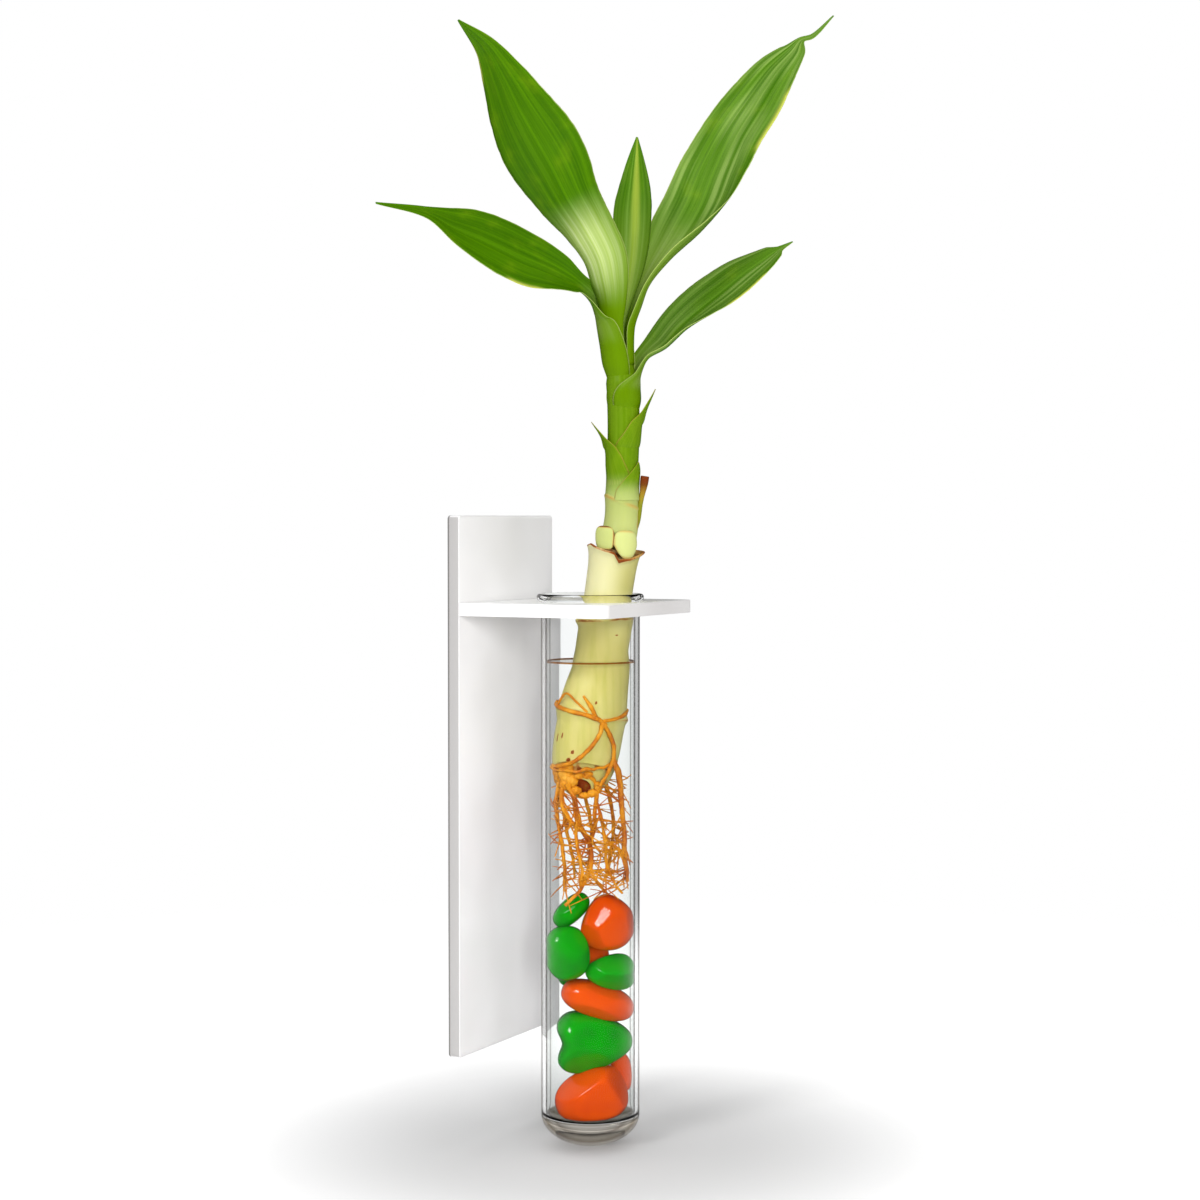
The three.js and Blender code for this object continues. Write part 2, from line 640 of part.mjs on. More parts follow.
// Main roots as rows of [x, y, z, radius], each starting in the crown or in another root.
const MAIN_ROOTS = {
  girdle: [
    [-12.6, 2.5, -38.6, 0.8], [-12.6, -4.6, -39.6, 1.0], [-8.4, -11.4, -41.0, 1.0],
    [-1.4, -14.6, -42.6, 1.1], [3.4, -14.4, -44.4, 1.2], [5.6, -13.4, -46.8, 1.2],
  ],
  girdleRight: [
    [3.8, -14.3, -45.0, 0.8], [9.4, -11.6, -44.2, 0.8], [13.0, -6.6, -42.8, 0.9], [14.0, -1.0, -41.8, 0.9],
  ],
  loop: [
    [-12.2, -5.6, -39.2, 0.6], [-9.0, -10.0, -34.6, 0.6], [-5.4, -12.6, -37.4, 0.5],
    [-1.0, -14.0, -41.6, 0.6],
  ],
  bud: [[-2.4, -12.6, -35.4, 0.7], [0.2, -13.8, -39.4, 1.2], [2.2, -14.3, -43.4, 1.0]],
  slantLeft: [
    [4.6, -14.0, -46.0, 1.1], [3.4, -14.2, -50.4, 1.0], [0.4, -14.6, -54.6, 1.0], [-3.4, -14.2, -58.4, 1.0],
    [-7.4, -12.6, -61.0, 1.1], [-11.0, -9.0, -62.4, 1.2], [-13.4, -4.0, -63.0, 1.2],
  ],
  slantRight: [
    [4.8, -13.9, -46.0, 1.0], [7.6, -12.2, -51.0, 1.0], [8.8, -10.9, -56.0, 1.0], [8.4, -10.4, -60.6, 1.0],
    [6.6, -10.8, -65.0, 0.9], [4.0, -10.6, -69.6, 0.9], [2.6, -9.4, -74.0, 0.9], [1.6, -7.4, -80.4, 0.9],
    [1.8, -6.2, -86.0, 0.8], [0.4, -6.0, -91.6, 0.8],
  ],
  stout: [
    [8.6, -10.4, -59.6, 1.2], [10.6, -8.6, -66.0, 1.3], [11.4, -7.4, -74.0, 1.3], [12.2, -6.2, -82.0, 1.2],
    [12.8, -5.0, -89.0, 1.1], [12.8, -4.4, -95.4, 1.1], [13.6, -3.4, -101.4, 1.0], [14.0, -2.0, -107.6, 0.9],
  ],
  yellow: [
    [-8.6, -10.4, -69.0, 1.3], [-6.2, -10.8, -74.0, 1.3], [-5.0, -9.4, -80.0, 1.2], [-3.6, -7.8, -85.6, 1.2],
    [-0.6, -6.4, -92.0, 1.1], [0.6, -6.4, -98.6, 1.1], [-1.2, -7.4, -105.4, 1.0], [-5.0, -8.8, -111.4, 0.9],
    [-9.4, -9.4, -115.8, 0.8],
  ],
  yellowTwin: [
    [-4.8, -9.2, -81.0, 0.9], [-5.2, -9.2, -89.0, 0.9], [-4.0, -9.4, -97.0, 0.8], [-3.0, -8.8, -104.4, 0.8],
    [-3.8, -8.6, -109.8, 0.7],
  ],
  leftLong: [
    [-11.6, -5.0, -69.0, 1.2], [-12.8, -4.6, -77.0, 1.0], [-12.2, -4.4, -84.6, 0.9],
    [-11.0, -4.4, -91.0, 0.9], [-10.0, -4.6, -99.0, 0.8], [-9.6, -5.0, -106.0, 0.7],
    [-9.8, -5.4, -111.0, 0.6],
  ],
  leftShort: [
    [-10.4, -8.0, -69.6, 1.1], [-10.6, -9.2, -77.0, 1.0], [-7.6, -9.8, -82.6, 0.9], [-4.6, -8.8, -87.0, 0.8],
  ],
  leftBack: [
    [-9.4, 7.0, -65.0, 1.1], [-11.2, 6.4, -74.0, 1.0], [-9.8, 8.2, -86.0, 0.9], [-7.4, 9.4, -98.0, 0.8],
    [-6.0, 8.4, -108.0, 0.6],
  ],
  rightBack: [
    [3.6, 8.6, -64.0, 1.1], [6.8, 8.4, -74.0, 1.0], [9.0, 7.8, -86.0, 0.9], [8.0, 9.0, -98.0, 0.8],
    [6.2, 8.6, -108.0, 0.6],
  ],
  middleBack: [
    [-4.0, 9.4, -65.0, 1.0], [-2.0, 8.0, -76.0, 0.9], [0.6, 6.0, -90.0, 0.8], [-1.0, 4.4, -104.0, 0.6],
  ],
  rightFork: [
    [2.2, -8.8, -75.4, 0.8], [4.4, -6.8, -84.0, 0.8], [5.6, -6.2, -92.0, 0.8], [6.2, -7.0, -100.0, 0.7],
    [9.0, -7.6, -107.0, 0.6], [12.0, -6.6, -111.6, 0.5],
  ],
  rightTie: [[5.4, -6.2, -90.6, 0.6], [9.2, -5.8, -93.4, 0.6], [12.8, -4.6, -96.6, 0.7]],
  lowFork: [[0, -7.0, -102.4, 0.7], [2.8, -8.6, -107.2, 0.7], [6.6, -9.6, -111.4, 0.5]],
};

// Swellings where the roots leave the cane.
const CROWN = [
  { centre: [-8.6, -7.2, -65.0], size: [4.0, 3.8, 5.2], lean: 0 },
  { centre: [-10.8, -2.8, -65.4], size: [3.6, 4.4, 5.6], lean: 0 },
  { centre: [-6.9, -9.6, -68.6], size: [3.4, 2.8, 3.0], lean: 20 },
  { centre: [3.6, 8.8, -64.2], size: [5.0, 3.6, 4.6], lean: 0 },
  { centre: [-6.4, 9.4, -64.2], size: [5.6, 3.6, 4.6], lean: 0 },
];

// Root collars: rings round the cane's end and round its cut face.
const COLLARS = [
  { centre: [-2.4, -1.1, -62.2], towards: [-0.1, -0.12, 1], radius: 12.6, thickness: 1.5 },
  { centre: [-3.4, -7.4, -70.0], towards: [0.03, 0.8, 0.6], radius: 5.8, thickness: 1.3 },
];

const COLLAR_SIDES = 5;
const COLLAR_STEPS = 18;

function collarSolid({ centre, towards, radius, thickness }) {
  const geometry = new THREE.TorusGeometry(radius, thickness, COLLAR_SIDES, COLLAR_STEPS);
  const turn = new THREE.Quaternion().setFromUnitVectors(
    new THREE.Vector3(0, 0, 1), new THREE.Vector3(...towards).normalize());
  geometry.applyQuaternion(turn);
  geometry.translate(...centre);
  return solid(geometry);
}

// Numbers from 0 to 1 that come out alike in every run.
function seededNumbers(seed) {
  let state = seed;
  return () => {
    state = (state * 1664525 + 1013904223) % 4294967296;
    return state / 4294967296;
  };
}

// Fine roots that tie the hanging main roots to each other, as in a net.
function netSolids() {
  const next = seededNumbers(NET_SEED);
  const hanging = Object.values(MAIN_ROOTS).filter((rows) => rows.at(-1)[2] < -86)
    .map((rows) => new Run(rows));
  const strands = [];
  while (strands.length < NET_STRANDS) {
    const from = hanging[Math.floor(next() * hanging.length)].point(0.15 + 0.8 * next());
    const to = hanging[Math.floor(next() * hanging.length)].point(0.15 + 0.8 * next());
    const reach = from.distanceTo(to);
    const middle = from.clone().lerp(to, 0.5);
    middle.x += 2.4 * (next() - 0.5);
    middle.y += 2.4 * (next() - 0.5);
    middle.z -= 1.6 * next();
    if (reach > 4.5 && reach < 13 && from.z < -72 && to.z < -72 && Math.hypot(middle.x, middle.y) < 14) {
      const rows = [from, middle, to].map((place) => [...place.toArray(), NET_RADIUS]);
      strands.push(limb(rows, 3, 1));
    }
  }
  return strands;
}

function rootSolid(caneRoom, pebbleRooms) {
  const main = Object.values(MAIN_ROOTS).map((rows) => limb(rows, 5, 1));
  const swellings = CROWN.map((lump) => ball(lump.centre, lump.size, lump.lean, 1));
  const collars = COLLARS.map(collarSolid);
  const whole = unite([...main, ...swellings, ...collars, ...netSolids()]);
  return mainBody(whole.subtract(caneRoom).subtract(pebbleRooms));
}

// ---------------------------------------------------------------- water

// The water fills the bore up to its level, with room for the cane, the roots and the pebbles.
function waterSolid(caneRoom, pebbleRooms) {
  const floor = TUBE_BOTTOM + FLOOR_RISE + CLEARANCE;
  const body = solid(turned([
    ...bowl(WATER_RADIUS, DISH_DEPTH, floor, 4),
    new THREE.Vector2(WATER_RADIUS, WATER_LEVEL),
    new THREE.Vector2(0, WATER_LEVEL),
  ]));
  const room = solid(turned([
    new THREE.Vector2(0, ROOT_ROOM_BOTTOM),
    new THREE.Vector2(ROOT_ROOM, ROOT_ROOM_BOTTOM),
    new THREE.Vector2(ROOT_ROOM, ROOT_ROOM_TOP),
    new THREE.Vector2(0, ROOT_ROOM_TOP),
  ]));
  const upperRoots = Object.values(MAIN_ROOTS).filter((rows) => rows[0][2] > ROOT_ROOM_TOP - 3)
    .map((rows) => limb(rows, 5, 1, 1.3 * CLEARANCE));
  const collars = COLLARS.map((collar) => (
    collarSolid({ ...collar, thickness: collar.thickness + CLEARANCE })));
  const rooms = unite([room, ...upperRoots, ...collars, caneRoom, pebbleRooms]);
  return mainBody(body.subtract(rooms));
}

// ---------------------------------------------------------------- assembly

const caneRoom = caneSolid(1.5 * CLEARANCE);
const pebbleRooms = unite(Object.values(PEBBLES).map((pebble) => pebbleSolid(pebble, CLEARANCE)));

const tubeFrame = new THREE.Group();
tubeFrame.position.set(0, tubeY, SHELF_TOP);
tubeFrame.rotation.z = THREE.MathUtils.degToRad(PLANT_TURN);
tubeFrame.add(
  piece('glass_tube', makeGlassTube(), 'glass'),
  piece('water', geometryOf(waterSolid(caneRoom, pebbleRooms)), 'water'),
  piece('cane', geometryOf(caneSolid()), 'cane'),
  piece('shoot', geometryOf(shootSolid()), 'shoot'),
  ...makeLeaves(),
  piece('roots', geometryOf(rootSolid(caneRoom, pebbleRooms)), 'root'),
  ...Object.entries(PEBBLES).map(([name, pebble]) => (
    piece(name, geometryOf(pebbleSolid(pebble)), pebble.finish))),
);

const part = new THREE.Group();
part.add(makeBackPlate(), makeShelf(), tubeFrame);

export default part;
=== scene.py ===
"""Lucky bamboo in a glass test tube that hangs in a white wall bracket.

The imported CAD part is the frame: metres, +Z up, the wall at y = 0. Sizes are written in
millimetres, as in the part's source. The plant, its roots, the pebbles and the water are made in
the tube's own frame: its origin is on the tube's axis at the shelf's top, X runs across the
plant's widest side, Y through the plant, away from the camera, and Z up.
"""

import math
import random

import bmesh
import bpy
import numpy as np
from mathutils import Matrix, Vector, noise


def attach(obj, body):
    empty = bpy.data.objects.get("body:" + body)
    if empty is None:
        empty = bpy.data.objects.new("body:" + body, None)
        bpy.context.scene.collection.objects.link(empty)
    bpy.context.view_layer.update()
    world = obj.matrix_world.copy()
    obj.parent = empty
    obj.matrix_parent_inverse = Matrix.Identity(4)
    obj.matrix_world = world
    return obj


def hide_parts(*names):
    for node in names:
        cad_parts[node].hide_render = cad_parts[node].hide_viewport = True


bl_info = {
    "name": "Bamboo in a test tube",
    "version": (1, 0, 0),
    "blender": (4, 5, 0),
    "location": "View3D > Sidebar > Bamboo",
    "description": "Dresses the lucky bamboo, its test tube and its wall bracket",
    "category": "Object",
}

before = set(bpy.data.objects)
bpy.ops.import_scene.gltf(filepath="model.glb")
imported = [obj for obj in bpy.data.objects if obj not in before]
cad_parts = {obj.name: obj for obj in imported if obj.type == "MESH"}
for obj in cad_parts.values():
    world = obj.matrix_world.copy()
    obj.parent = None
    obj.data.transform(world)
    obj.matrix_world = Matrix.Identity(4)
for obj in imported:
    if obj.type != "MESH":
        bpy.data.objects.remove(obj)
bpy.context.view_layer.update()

MM = 0.001
UPWARDS = np.array([0, 0, 1])

# The shelf's top and the tube's axis, and the plant's turn about it, as in the part's source.
TUBE_AXIS = Vector((0, -41.5, 70))
PLANT_TURN = math.radians(-63)
TUBE_FRAME = Matrix.Translation(TUBE_AXIS) @ Matrix.Rotation(PLANT_TURN, 4, "Z")

# The test tube and the bracket, in millimetres.
TUBE_RADIUS, TUBE_BORE = 19, 17.2
TUBE_DEPTH = 210                    # from the shelf's top to the tube's bottom
BASE_THICKNESS = 8
SHEET = 5
HOLE_RADIUS = 19.5


# ---------------------------------------------------------------- colours and nodes

def shown(code):
    """An sRGB hex colour, as it looks on a screen, as linear RGBA."""
    parts = [int(code[place:place + 2], 16) / 255 for place in (1, 3, 5)]
    return (*(c / 12.92 if c <= 0.04045 else ((c + 0.055) / 1.055) ** 2.4 for c in parts), 1.0)


MATH = "ShaderNodeMath"
MIX = "ShaderNodeMix"
EASE = "ShaderNodeMapRange"
NOISE = "ShaderNodeTexNoise"
RAMP = "ShaderNodeValToRGB"
BUMP = "ShaderNodeBump"
ATTRIBUTE = "ShaderNodeAttribute"
SURFACE = "ShaderNodeBsdfPrincipled"
BLEND = "ShaderNodeMixShader"
SEE_THROUGH = "ShaderNodeBsdfTransparent"
COORDINATES = "ShaderNodeTexCoord"
STRETCH = "ShaderNodeMapping"
OUTPUT = "ShaderNodeOutputMaterial"

SOFT = {"interpolation_type": "SMOOTHSTEP"}      # an EASE that starts and ends gently
RGBA = {"data_type": "RGBA"}                     # a MIX of colours


def add(tree, kind, inputs=None, stops=(), **settings):
    """A new node: its inputs are values, sockets or nodes, and stops are (place, colour)."""
    new = tree.nodes.new(kind)
    for name, value in settings.items():
        setattr(new, name, value)
    for place, (at, shade) in enumerate(stops):
        band = new.color_ramp.elements
        stop = band[place] if place < 2 else band.new(at)
        stop.position, stop.color = at, shade
    for name, value in (inputs or {}).items():
        socket = new.inputs[name] if isinstance(name, int) else next(
            each for each in new.inputs if each.name == name and each.enabled)
        if isinstance(value, bpy.types.Node):
            value = next(each for each in value.outputs if each.enabled)
        if isinstance(value, bpy.types.NodeSocket):
            tree.links.new(value, socket)
        else:
            socket.default_value = value
    return new


def new_material(name):
    """An empty material and its node tree."""
    material = bpy.data.materials.new(name)
    material.use_nodes = True
    tree = material.node_tree
    tree.nodes.clear()
    return material, tree


# ---------------------------------------------------------------- curves and meshes

def smoothstep(value, low, high):
    """0 below low, 1 above high, eased between them."""
    share = np.clip((value - low) / (high - low), 0.0, 1.0)
    return share * share * (3 - 2 * share)


def unit(vector):
    return vector / np.linalg.norm(vector)


class Run:
    """A smooth line through rows of numbers; the first three of each row are a point (mm)."""

    def __init__(self, rows):
        self.rows = np.array(rows, float)

    def place(self, t):
        """The row before t, and how far t lies on the way to the next one."""
        last = len(self.rows) - 1
        index = min(int(min(max(t, 0.0), 1.0) * last), last - 1)
        return index, min(max(t, 0.0), 1.0) * last - index

    def four(self, index, columns):
        """The two rows at index and their neighbours, carried on at the ends."""
        rows = self.rows[:, columns]
        before = rows[index - 1] if index else 2 * rows[0] - rows[1]
        after = rows[index + 2] if index + 2 < len(rows) else 2 * rows[-1] - rows[-2]
        return before, rows[index], rows[index + 1], after

    def point(self, t):
        """The centripetal curve that the part's source uses."""
        index, w = self.place(t)
        p0, p1, p2, p3 = self.four(index, slice(0, 3))
        d1 = max(np.linalg.norm(p2 - p1) ** 0.5, 1e-4)
        d0 = np.linalg.norm(p1 - p0) ** 0.5 or d1
        d2 = np.linalg.norm(p3 - p2) ** 0.5 or d1
        v1 = ((p1 - p0) / d0 - (p2 - p0) / (d0 + d1) + (p2 - p1) / d1) * d1
        v2 = ((p2 - p1) / d1 - (p3 - p1) / (d1 + d2) + (p3 - p2) / d2) * d1
        c2 = -3 * p1 + 3 * p2 - 2 * v1 - v2
        c3 = 2 * p1 - 2 * p2 + v1 + v2
        return p1 + v1 * w + c2 * w * w + c3 * w ** 3

    def tangent(self, t):
        return unit(self.point(min(t + 1e-4, 1)) - self.point(max(t - 1e-4, 0)))

    def value(self, column, t):
        """A column of the rows at t, on a smooth curve through them."""
        index, w = self.place(t)
        p0, p1, p2, p3 = self.four(index, column)
        v1, v2 = (p2 - p0) / 2, (p3 - p1) / 2
        return (p1 + v1 * w + (3 * (p2 - p1) - 2 * v1 - v2) * w * w
                + (2 * (p1 - p2) + v1 + v2) * w ** 3)

    def at_height(self, z):
        """The point at a height, on a run that rises all the way."""
        low, high = 0.0, 1.0
        for _ in range(30):
            middle = (low + high) / 2
            if self.point(middle)[2] < z:
                low = middle
            else:
                high = middle
        return self.point(low)


def grid(rows, columns, closed=False, first=0):
    """Quads of a grid of points, row after row; closed joins each row's ends."""
    across = columns if closed else columns - 1
    return [(first + r * columns + c, first + r * columns + (c + 1) % columns,
             first + (r + 1) * columns + (c + 1) % columns, first + (r + 1) * columns + c)
            for r in range(rows - 1) for c in range(across)]


def rings(run, radius_at, sides, steps):
    """Rings of points round a run, [steps + 1, sides, 3], and the t of each ring."""
    across = np.array([1, 0.13, 0.07])
    turn = np.linspace(0, 2 * math.pi, sides, endpoint=False)
    made, places = [], np.linspace(0, 1, steps + 1)
    for t in places:
        along = run.tangent(t)
        across = unit(across - along * across.dot(along))
        side = np.cross(along, across)
        made.append(run.point(t) + radius_at(t) * (
            np.cos(turn)[:, None] * across + np.sin(turn)[:, None] * side))
    return np.array(made), places


def capped(points):
    """Points and faces of rings closed by a point at each end."""
    steps, sides, _ = points.shape
    flat = points.reshape(-1, 3)
    ends = np.array([points[0].mean(0), points[-1].mean(0)])
    low, high = len(flat), len(flat) + 1
    last = (steps - 1) * sides
    faces = grid(steps, sides, closed=True)
    faces += [(low, (c + 1) % sides, c) for c in range(sides)]
    faces += [(high, last + c, last + (c + 1) % sides) for c in range(sides)]
    return np.vstack([flat, ends]), faces


def turned(profile, segments):
    """Points and faces of a profile of (radius, height) spun round the axis; radius 0 is a pole."""
    points, faces, loops = [], [], []
    for radius, height in profile:
        start = len(points)
        if radius < 1e-6:
            points.append((0, 0, height))
            loops.append([start] * segments)
        else:
            for c in range(segments):
                turn = 2 * math.pi * c / segments
                points.append((radius * math.cos(turn), radius * math.sin(turn), height))
            loops.append(list(range(start, start + segments)))
    for low, high in zip(loops, loops[1:]):
        for c in range(segments):
            d = (c + 1) % segments
            face = list(dict.fromkeys((low[c], low[d], high[d], high[c])))
            if len(face) > 2:
                faces.append(tuple(face))
    return np.array(points, float), faces


def sphere(detail):
    """Points and faces of a unit ball of triangles."""
    bm = bmesh.new()
    bmesh.ops.create_icosphere(bm, subdivisions=detail, radius=1.0)
    bm.verts.index_update()
    points = np.array([v.co for v in bm.verts])
    faces = [tuple(v.index for v in f.verts) for f in bm.faces]
    bm.free()
    return points, faces


def outward(mesh):
    """Turns all faces of a mesh outwards."""
    bm = bmesh.new()
    bm.from_mesh(mesh)
    bmesh.ops.recalc_face_normals(bm, faces=bm.faces)
    bm.to_mesh(mesh)
    bm.free()


def placed(points, matrix):
    """Points in millimetres put where matrix says, in metres."""
    matrix = np.array(matrix)
    return (np.asarray(points, float) @ matrix[:3, :3].T + matrix[:3, 3]) * MM


def make_piece(name, points, faces, materials, nodes, place=TUBE_FRAME, numbers=None, uv=None,
               sharp=None, finish_of=None):
    """A mesh object from points in millimetres, riding on the part in place of CAD nodes."""
    mesh = bpy.data.meshes.new(name)
    mesh.from_pydata(placed(points, place).tolist(), [], faces)
    outward(mesh)
    mesh.shade_smooth()
    if sharp is not None:
        mesh.set_sharp_from_angle(angle=math.radians(sharp))
    for key, values in (numbers or {}).items():
        layer = mesh.attributes.new(key, "FLOAT", "POINT")
        layer.data.foreach_set("value", np.asarray(values, np.float32).ravel())
    if uv is not None:
        corners = np.zeros(len(mesh.loops), np.int32)
        mesh.loops.foreach_get("vertex_index", corners)
        layer = mesh.uv_layers.new(name="surface")
        layer.data.foreach_set("uv", np.asarray(uv, np.float32)[corners].ravel())
    for material in materials:
        mesh.materials.append(material)
    if finish_of is not None:
        mesh.polygons.foreach_set("material_index", finish_of)
    piece = bpy.data.objects.new(name, mesh)
    bpy.context.scene.collection.objects.link(piece)
    return settled(piece, nodes)


def settled(piece, nodes):
    """The piece, riding on the part and standing for CAD nodes."""
    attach(piece, "root")
    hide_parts(*nodes)
    return piece


def rough(point, scale, seed=0.0):
    """Smooth noise from -1 to 1 at a point (mm), the same in every run."""
    return noise.noise(Vector((float(point[0]) / scale + seed, float(point[1]) / scale - seed,
                               float(point[2]) / scale + 2 * seed)))


# ---------------------------------------------------------------- settings

def length(name, description, millimetres):
    return bpy.props.FloatProperty(name=name, description=description, default=millimetres * MM,
                                   unit="LENGTH", precision=4)


def colour(name, description, code):
    return bpy.props.FloatVectorProperty(name=name, description=description, default=shown(code),
                                         subtype="COLOR", size=4, min=0, max=1)


class BracketSettings(bpy.types.PropertyGroup):
    """Sizes and colours of the wall bracket."""
    plate_width: length("Plate width", "Width of the back plate", 75)
    plate_height: length("Plate height", "Height of the back plate", 206)
    sheet: length("Sheet", "Thickness of the acrylic sheet", SHEET)
    shelf_depth: length("Shelf depth", "How far the shelf stands out from the plate", 62.5)
    face: colour("Face", "Colour of the sheet's faces", "#eeedee")
    # The edge colour is painted shade on the plate's sides that look along X.
    edge: colour("Edge", "Colour of the sawn edges of the plate", "#acaaa9")


class TubeSettings(bpy.types.PropertyGroup):
    """Sizes and colours of the test tube and its water."""
    radius: length("Radius", "Outer radius of the tube", TUBE_RADIUS)
    bore: length("Bore", "Inner radius of the tube", TUBE_BORE)
    depth: length("Depth", "From the shelf's top to the tube's bottom", TUBE_DEPTH)
    water_level: length("Water level", "From the shelf's top down to the water", 22.9)
    # The glass edge tint is a painted dark reflection.
    edge: colour("Glass edge", "Tint of the glass where it is seen along its wall", "#48433d")
    line: colour("Water line", "Tint of the water's rim at the glass", "#8a4f16")


class PlantSettings(bpy.types.PropertyGroup):
    """Colours of the cane, the shoot and the leaves."""
    blade: colour("Blade", "Green of a leaf's blade", "#5c9200")
    blade_dark: colour("Blade, dark", "Green between a leaf's veins", "#3d6f00")
    blade_light: colour("Blade, light", "Green along the midrib", "#8cb010")
    # Painted sheen: pale streaks that stand for highlights on a blade's lit side.
    painted_sheen: colour("Bloom", "Colour of the streaks on the lit side of a blade", "#a8c46c")
    sheath: colour("Sheath", "Green of the sheaths that wrap the shoot", "#6f9600")
    sheath_pale: colour("Sheath, pale", "Colour of the scales at the shoot's foot", "#ccd288")
    young: colour("Young sheath", "Green of the short scales", "#587c00")
    skin: colour("Skin", "Colour of the shoot above its foot", "#6a7c1c")
    cane: colour("Cane", "Colour of the cane", "#d0c678")
    cane_olive: colour("Cane, olive", "Colour of the cane's streaks", "#b9b552")
    scar: colour("Scar", "Colour of the rings and scars", "#b8651a")


class RootSettings(bpy.types.PropertyGroup):
    """Number, sizes and colours of the roots."""
    strands: bpy.props.IntProperty(name="Strands", description="Fine roots in the net",
                                   default=300, min=0, max=600)
    strand: length("Strand", "Radius of a fine root", 0.29)
    sides: bpy.props.IntProperty(name="Sides", description="Sides of a root's section",
                                 default=7, min=3, max=24)
    seed: bpy.props.IntProperty(name="Seed", description="Start of the net's pattern", default=7)
    root: colour("Root", "Colour of the roots", "#dc9018")
    root_pale: colour("Root, pale", "Colour of the youngest roots", "#e8ae46")
    root_dark: colour("Root, dark", "Colour of the older roots", "#93420a")


class PebbleSettings(bpy.types.PropertyGroup):
    """Colours of the pebbles, and how finely they are made."""
    green: colour("Green", "Colour of the green pebbles", "#049604")
    orange: colour("Orange", "Colour of the orange pebbles", "#dc4c00")
    detail: bpy.props.IntProperty(name="Detail", description="Subdivisions of a pebble",
                                  default=5, min=3, max=6)


class StageSettings(bpy.types.PropertyGroup):
    """The camera, the lights and the floor."""
    distance: length("Distance", "From the camera to the tube's axis", 922.7)
    key: bpy.props.FloatProperty(name="Key light", description="Power of the key light, in watts",
                                 default=10, min=0)
    fill: bpy.props.FloatProperty(name="Fill light", description="Power of the fill light, in watts",
                                  default=26, min=0)
    floor: colour("Floor", "Colour of the floor", "#dedede")


# ---------------------------------------------------------------- stage

# The camera as it was fitted to the photograph: its turn and its tilt, its lens, and what it aims
# at, in millimetres to its right and up from the tube's axis at the shelf's top.
YAW, PITCH = math.radians(63), math.radians(1.95)
LENS, SENSOR = 72.06, 36
AIM_RIGHT, AIM_UP = 3.74, 0.55
RIGHT = Vector((math.cos(YAW), -math.sin(YAW), 0))
AHEAD = Vector((math.sin(YAW) * math.cos(PITCH), math.cos(YAW) * math.cos(PITCH), -math.sin(PITCH)))

LAMP_AIM = Vector((0, -0.05, 0.06))              # what the lamps face, in metres

# How bright the surroundings are: as a light, where a surface mirrors them, where the glass wall
# does, and as light that has come through the glass.
SKY_LIGHT, SKY_MIRRORED, SKY_IN_WALL, SKY_THROUGH = 0.43, 0.03, 0.63, 0.28

# A ray has met what stands in the tube when it has gone through more clear surfaces than IN_TUBE,
# and a count above ANY isn't zero. Both lie halfway between two whole numbers.
IN_TUBE = 2.5
ANY = 0.5

FLOOR_RADIUS = 660                               # mm
FLOOR_DROP = 210.6                               # mm, from the shelf's top


def point_camera(scene, distance):
    lens = bpy.data.cameras.new("camera")
    lens.lens, lens.sensor_width = LENS, SENSOR
    camera = bpy.data.objects.new("camera", lens)
    target = (TUBE_AXIS + Vector((0, 0, AIM_UP)) + AIM_RIGHT * RIGHT) * MM
    camera.location = target - AHEAD * distance
    camera.rotation_euler = AHEAD.to_track_quat("-Z", "Y").to_euler()
    scene.collection.objects.link(camera)
    scene.camera = camera


def hang_lamp(scene, name, place, size, power, mirrored=True, through=False):
    """A soft light; place is in metres to the camera's right, ahead and up from LAMP_AIM.

    The glass lets its light through as shadows, so it is counted again, by through, only where it
    is to glint on what stands in the tube.
    """
    data = bpy.data.lights.new(name, "AREA")
    data.shape = "RECTANGLE"
    data.size, data.size_y = size
    data.energy = power
    light = bpy.data.objects.new(name, data)
    light.visible_glossy = mirrored
    light.visible_transmission = through
    light.location = LAMP_AIM + place[0] * RIGHT + place[1] * AHEAD + Vector((0, 0, place[2]))
    light.rotation_euler = (LAMP_AIM - light.location).to_track_quat("-Z", "Y").to_euler()
    scene.collection.objects.link(light)


